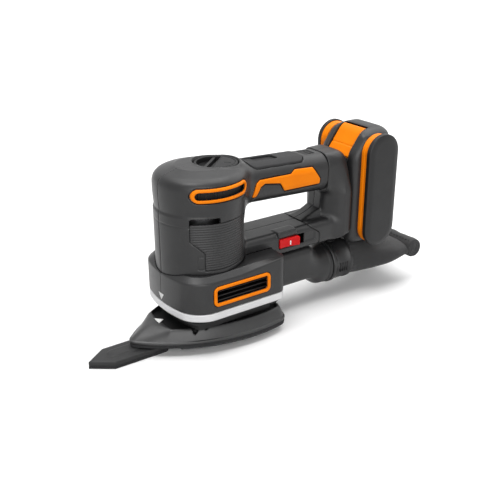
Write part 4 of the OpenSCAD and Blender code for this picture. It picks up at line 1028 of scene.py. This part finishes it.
LEVER_X, LEVER_Y, LEVER_BOSS_R, LEVER_HOLE_R = -23.014, 33.0, 6.0, 2.8
LINK_R, LINK_LEN, DIAGONAL = 3.6, 11.0, 0.707


def band_form(x, y, z):
    edge = outline(x, y, deck_outline())
    return extruded(np.abs(edge + BAND_T / 2) - BAND_T / 2, z, BAND_LOW, BAND_TOP, 0.8)


def fixed_tail(x, y, z):
    """The part of the band that stays on the platen: the far side and the rear."""
    return eased(band_form(x, y, z), hard_and(-8.0 - x, -19.0 - y), 0.6)


def swinging_band(x, y, z):
    """The rest of the band, which turns about the pin at the far front corner."""
    band = cut(band_form(x, y, z), hard_and(-9.0 - x, -20.0 - y), 0.6)
    u, v = x - LEVER_X, y - LEVER_Y
    boss = extruded(np.hypot(u, v) - LEVER_BOSS_R, z, BAND_LOW, BAND_TOP, 0.5)
    along = np.clip(-DIAGONAL * u + DIAGONAL * v, 0.0, LINK_LEN)
    link_out = np.hypot(u + DIAGONAL * along, v - DIAGONAL * along) - LINK_R
    link = extruded(link_out, z, BAND_LOW + 1, BAND_LOW + 5, 0.5)
    link = hard_and(link, outline(x, y, deck_outline(BAND_T / 2)))
    return cut(np.minimum(fillet(band, link, 1.0), boss), np.hypot(u, v) - LEVER_HOLE_R + 0.0 * z)


def make_platen():
    # The platen's black is partly its own colour and partly painted shade for the gap below the band.
    keep(black, "platen")
    keep(steel, "orbit_bearing", "lever_pin")
    skinned("band_tail", fixed_tail, (-10, -21, 28), (63.5, 48.5, 37.5), 0.6,
            "platen", silver, ["band_rail"])
    skinned("clamp_band", swinging_band, (-45, -48.5, 28), (63.5, 48.5, 37.5), 0.6,
            "lever", silver, ["clamp_lever"])


# ---------------------------------------------------------------- controls

KNURLS, KNURL_H, DIAL_TURN = 40.0, 0.22, math.radians(42)
DIAL_WELL_R, DIAL_HALF_R, STEM_R = 17.4, 17.2, 3.0
FINGER_GRIP_X, FINGER_GRIP_HALF = 6.0, 1.3


def dial_shell(x, y, z):
    """A knurled disc: one half flush with a scribed edge, the other sunk round a standing finger grip."""
    u, v = x - DIAL_X, y
    out = np.hypot(u, v)
    turn = np.arctan2(v, u)
    knurl = KNURL_H * np.cos(turn * KNURLS)
    form = extruded(out - DIAL_R + 0.25 + knurl, z, DIAL_TOP - 6.5, DIAL_TOP, 0.8)
    c, s = math.cos(DIAL_TURN), math.sin(DIAL_TURN)
    along, across = u * c + v * s, v * c - u * s
    well = extruded(eased(out - DIAL_WELL_R, -0.4 - across, 1.0), z, DIAL_TOP - 5.0, 180.0)
    finger_grip = hard_and(np.abs(across - FINGER_GRIP_X) - FINGER_GRIP_HALF, z - DIAL_TOP + 1.0)
    form = cut(form, hard_and(well, -finger_grip), 0.5)
    half = eased(out - DIAL_HALF_R, across + 1.6, 1.0)
    form = cut(form, extruded(np.abs(half) - 0.35, z, DIAL_TOP - 0.6, 180.0))
    form = cut(form, extruded(rounded_rect(along, across + 10.5, 1.6, 6.0, 0.7), z, DIAL_TOP - 0.5, 180))
    return np.minimum(form, extruded(out - STEM_R, z, DIAL_TOP - 16.4, DIAL_TOP - 6.0))


ROCKER_REST = math.radians(-6.0)
ROCKER_HALF_LEN, ROCKER_HALF_H, ROCKER_PIN_R, ROCKER_PIN_HALF = 11.0, 4.5, 1.5, 6.5


def rocker_place(x, y):
    """Along the rocker and out from its pin, as it lies at rest."""
    c, s = math.cos(ROCKER_REST), math.sin(ROCKER_REST)
    return (x - SWITCH_X) * c + (y - SWITCH_Y) * s, (y - SWITCH_Y) * c - (x - SWITCH_X) * s


def rocker_face(u):
    return -6.0 - 1.2 * (u / ROCKER_HALF_LEN) ** 2


def rocker_shell(x, y, z):
    u, v = rocker_place(x, y)
    face = hard_and((rocker_face(u) - v) * 0.95, v + 1.5, np.abs(u) - ROCKER_HALF_LEN)
    hub = rounded_rect(u, v + 1.0, 6.0, 4.0, 0.3)
    form = eased(np.minimum(face, hub), np.abs(z - SWITCH_Z) - ROCKER_HALF_H, 1.2)
    pin = extruded(np.hypot(u, v) - ROCKER_PIN_R, z, SWITCH_Z - ROCKER_PIN_HALF, SWITCH_Z + ROCKER_PIN_HALF)
    return np.minimum(form, pin)


def rocker_mark(x, y, z):
    """A plain stroke for ON."""
    u, v = rocker_place(x, y)
    stroke = rounded_rect(u - 1.2, z - SWITCH_Z + 0.6, 1.3, 4.4, 0.5)
    return extruded(stroke, rocker_face(u) - v, -0.5, 0.15)


def make_controls():
    skinned("dial_wheel", dial_shell, (-5, -22, 138.5), (39, 22, 158), 0.5, "dial", black, ["speed_dial"])
    skinned("rocker_key", rocker_shell, (70, -27, 64), (96, -15, 80), 0.4, "rocker", red, ["switch_rocker"])
    skinned("rocker_mark", rocker_mark, (82, -27, 67.5), (86.5, -21.5, 75), 0.2, "rocker", white)


# ---------------------------------------------------------------- battery

SLOPE_TURN = math.atan2(4.0, 3.0)
CASE_HALF_W, CHEEK_Y, CHEEK_H, NOSE_ROUND = 27.9, 15.4, 3.2, 12.0
LATCH_WELL_HALF_W, LATCH_WELL_LEN, LATCH_WELL_DEEP, LATCH_WELL_REACH = 15.8, 37.0, 7.0, 14.0
LATCH_HALF_W, LATCH_LEN, LATCH_PIN_U, LATCH_PIN_W, LATCH_PIN_HALF = 15.3, 35.0, 3.2, -4.5, 19.5
SLOT_LOW, SLOT_TOP, CONTACT_TOP = 40.0, 118.9, 98.9
RIDGE_Z, RIDGE_HALF_H, RIDGE_HALF_W, RIDGE_PITCH, RIDGE_H = 100.0, 34.0, 17.0, 6.0, 0.6


def case_form(x, y, z):
    """A block with a slope in front for the latch, between two raised cheeks."""
    cheek = CHEEK_H * np.clip((np.abs(y) - CHEEK_Y) / 1.2, 0.0, 1.0)
    slope = -(x - BAT_FRONT) * math.sin(SLOPE_TURN) + (z - SLOPE_Z) * math.cos(SLOPE_TURN) - cheek
    side = np.abs(y) - CASE_HALF_W
    nose = eased(eased(BAT_FRONT - x, slope, 4.0), side, NOSE_ROUND)
    rest = eased(eased(x - BAT_BACK, BAT_LOW - z, 5.0), z - BAT_TOP, 9.0)
    shoulder = side * 0.6 + (z - (BAT_TOP - 6.0)) * 0.8
    return eased(eased(eased(nose, rest, 8.0), side, 2.5), shoulder, 5.0)


def latch_place(x, z):
    """Up along the slope and out from it."""
    c, s = math.cos(SLOPE_TURN), math.sin(SLOPE_TURN)
    return (x - BAT_FRONT) * c + (z - SLOPE_Z) * s, (z - SLOPE_Z) * c - (x - BAT_FRONT) * s


def case_shell(x, y, z):
    form = case_form(x, y, z)
    u, w = latch_place(x, z)
    half = np.abs(y)
    depth = case_form(x, y * 0.0, z)
    well = hard_and(half - LATCH_WELL_HALF_W, 1.0 - u, u - LATCH_WELL_LEN, -LATCH_WELL_DEEP - depth,
                    -LATCH_WELL_REACH - w)
    form = cut(form, well)
    slot_web = block(x, half, z, (150.0, 11.6, SLOT_LOW), (160.5, 16.4, SLOT_TOP))
    slot_lip = block(x, half, z, (159.0, 11.6, SLOT_LOW), (163.0, 19.4, SLOT_TOP))
    contacts = block(x, half, z, (150.0, -9.4, SLOT_LOW), (166.0, 9.4, CONTACT_TOP))
    for tool in (slot_web, slot_lip, contacts):
        form = cut(form, tool)
    wave = np.cos((z - RIDGE_Z) * 2 * math.pi / RIDGE_PITCH)
    ridged = (half < RIDGE_HALF_W) & (np.abs(z - RIDGE_Z) < RIDGE_HALF_H) & (x > BAT_BACK - 6.0)
    return form + np.where(ridged, RIDGE_H * np.clip(wave * 3.0 - 1.8, 0.0, 1.0), 0.0)


def battery_slot(x, z, shift, w, h):
    return rounded_rect(x - PANEL_X - shift, z - PANEL_Z, w, h, w / 2)


RIM_CREASE_Y, RIM_OUT, RIM_IN, PANEL_OUT, PANEL_IN = -31.2, -34.7, -26.4, -40.0, -34.3


def battery_rim(x, y, z):
    edge = battery_slot(x, z, -0.5, PANEL_W - 0.6, PANEL_H - 1.2)
    crease = 0.5 * np.exp(-((y - RIM_CREASE_Y) / 0.5) ** 2)
    return extruded(edge + crease, y, RIM_OUT, RIM_IN, 0.9)


def battery_panel(x, y, z):
    edge = battery_slot(x, z, 0.0, PANEL_W + 1.4, PANEL_H + 1.4)
    bevel = ((edge + 4.0) * 0.35 - y + PANEL_OUT) * 0.94
    return eased(eased(edge, eased(bevel, PANEL_OUT - y, 1.0), 0.8), y - PANEL_IN, 0.4)


def latch_shell(x, y, z):
    """A creased plate on the slope, with a hinge barrel and pin below it."""
    depth = case_form(x, 0.0 * y, z)
    u, w = latch_place(x, z)
    half = np.abs(y) - LATCH_HALF_W
    plate = extruded(hard_and(half, 2.0 - u, u - LATCH_LEN), depth, -2.4, 0.6, 0.7)
    foot = hard_and(half, rounded_rect(u - 3.7, w + 2.8, 3.4, 4.5, 0.4))
    pin_out = np.hypot(u - LATCH_PIN_U, w - LATCH_PIN_W)
    barrel = hard_and(pin_out - 2.6, half)
    pin = hard_and(pin_out - 1.5, np.abs(y) - LATCH_PIN_HALF)
    crease = 0.45 * np.exp(-((u - 13.0) / 0.7) ** 2)
    return np.minimum(np.minimum(plate + crease, foot), np.minimum(barrel, pin))


def make_battery():
    skinned("battery_housing", case_shell, (155.5, -30.5, 49.5), (204.5, 30.5, 167.5), 0.75,
            "battery", charcoal, ["battery_case"])
    for side in SIDES:
        one_side("battery_edge_", side, battery_rim, (163.5, -36.0, 49), (203, -25.5, 164), 0.6,
                 "battery", orange, "battery_rim_")
        one_side("battery_cheek_", side, battery_panel, (163, -40.8, 47.5), (204.5, -33.0, 165), 0.6,
                 "battery", battery_grey, "battery_panel_")
    skinned("latch_plate", latch_shell, (155, -21, 131), (186, 21, 169), 0.5,
            "latch", orange, ["battery_latch"])
    keep(cell_wrap, "battery_cells")
    keep(black, "cell_frames")
    keep(board, "battery_board")


# ---------------------------------------------------------------- dust bag

COLLAR_OUTER = [(142.3, 21.2), (142.7, 21.9), (145.9, 22.0), (146.4, 21.2), (150.0, 20.9), (163.4, 20.9),
                (163.9, 21.6), (167.4, 21.6), (168.0, 21.0)]
COLLAR_INNER = [(168.0, 14.4), (159.0, 14.4), (159.0, 17.3), (142.3, 17.3)]
BAG_START, BAG_END, BAG_ROWS, BAG_COLS, BAG_FOLDS, BAG_SEED = 166.0, 237.0, 84, 128, 9, 7
NECK_HALF, BAG_HALF_W, BAG_HALF_H, BAG_Z = 19.6, 35.8, 12.6, 28.2
GATHERS, GATHER_H = 22, 0.45
ROLL_X, ROLL_Z, ROLL_R, ROLL_HALF_LEN, ROLL_TURN_T = 240.5, 30.9, 10.1, 36.4, 2.3


def turned_collar():
    """Collar on the port: a closed ring, turned about the port's axis."""
    ring, steps = COLLAR_OUTER + COLLAR_INNER, 96
    points, faces = [], []
    for i in range(steps):
        t = 2 * math.pi * i / steps
        points += [(x, r * math.cos(t), PORT_Z + r * math.sin(t)) for x, r in ring]
    n = len(ring)
    for i in range(steps):
        for j in range(n):
            a, b = i * n, ((i + 1) % steps) * n
            faces.append((a + j, b + j, b + (j + 1) % n, a + (j + 1) % n))
    return points, faces


def bag_section(s):
    """Half width, half height, middle height and squareness of the pouch, s from the collar to the roll."""
    grow = smoothed(min(1.0, 1.3 * s))
    pinch = max(0.0, (s - 0.6) / 0.4) ** 1.5
    width = NECK_HALF + (BAG_HALF_W - NECK_HALF) * grow
    height = NECK_HALF * (1 - grow) + BAG_HALF_H * grow - 7.2 * pinch
    middle = PORT_Z * (1 - grow) + BAG_Z * grow + 2.2 * pinch
    return width, height, middle, 2.0 + 0.8 * grow


def sewn_bag():
    """A cloth pouch lofted from the round collar to a flat roll, with slack folds and a gathered neck."""
    rows, cols = BAG_ROWS, BAG_COLS
    rng = np.random.default_rng(BAG_SEED)
    folds = [(rng.uniform(0, 2 * math.pi), rng.integers(2, 7), rng.uniform(0.25, 0.9), rng.uniform(1.5, 5.0))
             for _ in range(BAG_FOLDS)]
    points, weave = [], []
    for i in range(rows):
        s = i / (rows - 1)
        width, height, middle, power = bag_section(s)
        x = BAG_START + (BAG_END - BAG_START) * s
        for j in range(cols):
            t = 2 * math.pi * j / cols
            c, d = math.cos(t), math.sin(t)
            y = math.copysign(abs(c) ** (2 / power), c) * width
            z = math.copysign(abs(d) ** (2 / power), d) * height
            wrinkle = sum(a * math.sin(k * t + p + q * s * 2.0) for p, k, a, q in folds)
            slack = math.sin(math.pi * min(1.0, s * 1.1)) * 0.55
            gather = GATHER_H * math.cos(GATHERS * t) * math.exp(-((s - 0.05) / 0.06) ** 2)
            swell = 1.0 + (wrinkle * slack + gather) / max(height, 9.0)
            drop = -1.6 * math.sin(math.pi * s) * max(0.0, -d) * (1 - abs(c))
            points.append((x, y * (1 + (swell - 1) * 0.4), middle + z * swell + drop))
            weave.append((x - BAG_START, t * (width + height) / 2))
    faces = []
    for i in range(rows - 1):
        for j in range(cols):
            k = (j + 1) % cols
            faces.append((i * cols + j, i * cols + k, (i + 1) * cols + k, (i + 1) * cols + j))
    faces.append(tuple(reversed(range(cols))))
    faces.append(tuple(range((rows - 1) * cols, rows * cols)))
    return points, faces, weave


def bag_roll(x, y, z):
    """The pouch's end, rolled up: a slack cylinder with the cloth's edge on it and its turns on the ends."""
    u, w = x - ROLL_X, z - ROLL_Z
    turn = np.arctan2(w, u)
    out = np.hypot(u, w)
    slack = 0.25 * np.sin(y * 0.21 + turn) + 0.15 * np.sin(y * 0.47 + 2.0 * turn + 1.0)
    round_off = ROLL_R + slack - 0.9 * ((turn + 2.2) % (2 * math.pi)) / (2 * math.pi)
    phase = (out / ROLL_TURN_T - turn / (2 * math.pi)) % 1.0
    groove = 0.9 * np.exp(-((phase - 0.5) / 0.16) ** 2)
    return extruded(out - round_off, y + 0.0 * x, -ROLL_HALF_LEN + groove, ROLL_HALF_LEN - groove, 1.4)


def lay_weave(piece, place):
    """A UV map in millimetres for the cloth."""
    layer = piece.data.uv_layers.new(name="weave")
    for loop in piece.data.loops:
        layer.data[loop.index].uv = place[loop.vertex_index]


def make_bag():
    points, faces = turned_collar()
    new_piece("collar_ring", points, faces, "bag", charcoal, ["bag_collar"])
    for side, y in zip(SIDES, (-20.6, 20.6)):
        rib = rounded_bar("rib", (150.8, y - 0.9, 21.0), (152.2, y + 0.9, 31.0), 0.4)
        repeated("collar_ribs_" + side, rib, 4, (2.9, 0.0, 0.0), "bag", black)
    tab = rounded_bar("tab", (147.6, -5.0, PORT_Z + 20.4), (156.4, 5.0, PORT_Z + 22.6), 0.8)
    ride_piece("collar_tab", tab, "bag", black)
    stitch = rounded_bar("stitch", (235.1, -33.0, 38.9), (236.1, -30.4, 40.1), 0.4)
    repeated("roll_stitches", stitch, 16, (0.0, 4.2, 0.0), "bag", charcoal)
    points, faces, weave = sewn_bag()
    lay_weave(new_piece("bag_pouch", points, faces, "bag", bag_cloth, ["dust_bag"]), weave)
    points, faces = skin(bag_roll, (228.0, -38.0, 18.5), (253.0, 38.0, 43.0), 0.6)
    turn = np.arctan2(points[:, 2] - ROLL_Z, points[:, 0] - ROLL_X)
    roll = new_piece("bag_roll", points, faces, "bag", bag_cloth)
    lay_weave(roll, np.stack([points[:, 1], turn * 10.0], 1))


# ---------------------------------------------------------------- nodes that stay as drawn

def finish_inner_nodes():
    keep(black, "brush_plate", "base_plate", "switch_module",
         "speed_potentiometer", "terminal_block", "cooling_fan")
    keep(grip_rubber, "rubber_legs")
    keep(steel, "motor_can", "upper_bearing", "lower_bearing", "bearing_plate", "body_screws", "motor_shaft",
         "eccentric")
    keep(magnet, "motor_magnets")
    keep(copper, "armature", "commutator")
    keep(brass, "terminal_blades")
    keep(board, "control_board")


# ---------------------------------------------------------------- studio

CAMERA_PLACE, CAMERA_TARGET = (-331.0, -549.3, 354.0), (49.3, -6.2, 65.7)
LENS, SENSOR, FAR_CLIP = 55.44, 36.0, 20.0
# Name, direction it comes from, spread in degrees, strength
LIGHTS = [("key_light", (60, 150, 985), 62.0, 2.3), ("front_light", (-450, -800, 300), 50.0, 2.0),
          ("right_light", (700, 0, 700), 60.0, 1.1), ("edge_light", (-310, -60, 945), 22.0, 0.8)]
FLOOR_HALF_M, FLOOR_SEEN, FLOOR_BOUNCE = 6.0, 0.94, 0.30
ROOM_LOW, ROOM_OVERHEAD = 0.1, 0.15


def aim(thing, place, target):
    thing.location = Vector(place) * MM
    thing.rotation_euler = (Vector(target) - Vector(place)).to_track_quat("-Z", "Y").to_euler()


def make_studio():
    lens = bpy.data.cameras.new("studio_camera")
    lens.lens, lens.sensor_width, lens.clip_end = LENS, SENSOR, FAR_CLIP
    camera = bpy.data.objects.new("studio_camera", lens)
    scene.collection.objects.link(camera)
    aim(camera, CAMERA_PLACE, CAMERA_TARGET)
    scene.camera = camera

    floor_finish = Finish("pale_floor")
    speck = floor_finish.noise(40.0, 3.0) * 0.03
    pale = floor_finish.mix(floor_finish.seen(), rgba(*[FLOOR_BOUNCE] * 3), rgba(*[FLOOR_SEEN] * 3))
    floor_finish.surface(base_color=pale, roughness=0.8 + speck, specular_ior_level=0.05)
    floor_mesh = bpy.data.meshes.new("floor")
    corners = [(-1, -1), (1, -1), (1, 1), (-1, 1)]
    floor_mesh.from_pydata([(u * FLOOR_HALF_M, v * FLOOR_HALF_M, 0) for u, v in corners], [], [(0, 1, 2, 3)])
    floor_mesh.materials.append(floor_finish.material)
    floor = bpy.data.objects.new("floor", floor_mesh)
    floor.location.z = (FLOOR_Z - 0.05) * MM
    scene.collection.objects.link(floor)

    for name, place, spread, power in LIGHTS:
        lamp = bpy.data.lights.new(name, "SUN")
        lamp.angle, lamp.energy = math.radians(spread), power
        holder = bpy.data.objects.new(name, lamp)
        scene.collection.objects.link(holder)
        aim(holder, place, (0, 0, 0))

    world = bpy.data.worlds.new("studio")
    scene.world = world
    room = Finish("studio", world)
    toward = room.node("ShaderNodeTexCoord", out="Generated")
    overhead = room.ease(room.along(toward, "Z"), 0.1, 0.95)
    glow = ROOM_LOW + overhead * ROOM_OVERHEAD
    light = room.node("ShaderNodeBackground", None, {"Color": glow, "Strength": 1.0}, 0)
    wall = room.node("ShaderNodeBackground", None, {"Color": rgba(1, 1, 1), "Strength": 1.0}, 0)
    shown = room.node("ShaderNodeMixShader", None, {0: room.seen(), 1: light, 2: wall}, 0)
    room.node("ShaderNodeOutputWorld", None, {"Surface": shown}, None)
    scene.view_settings.view_transform = "Standard"


for make in (make_studio, make_body, make_deck, make_tower, make_duct, make_trims, make_pad, make_platen,
             make_controls, make_battery, make_bag, finish_inner_nodes):
    make()

bpy.context.view_layer.update()
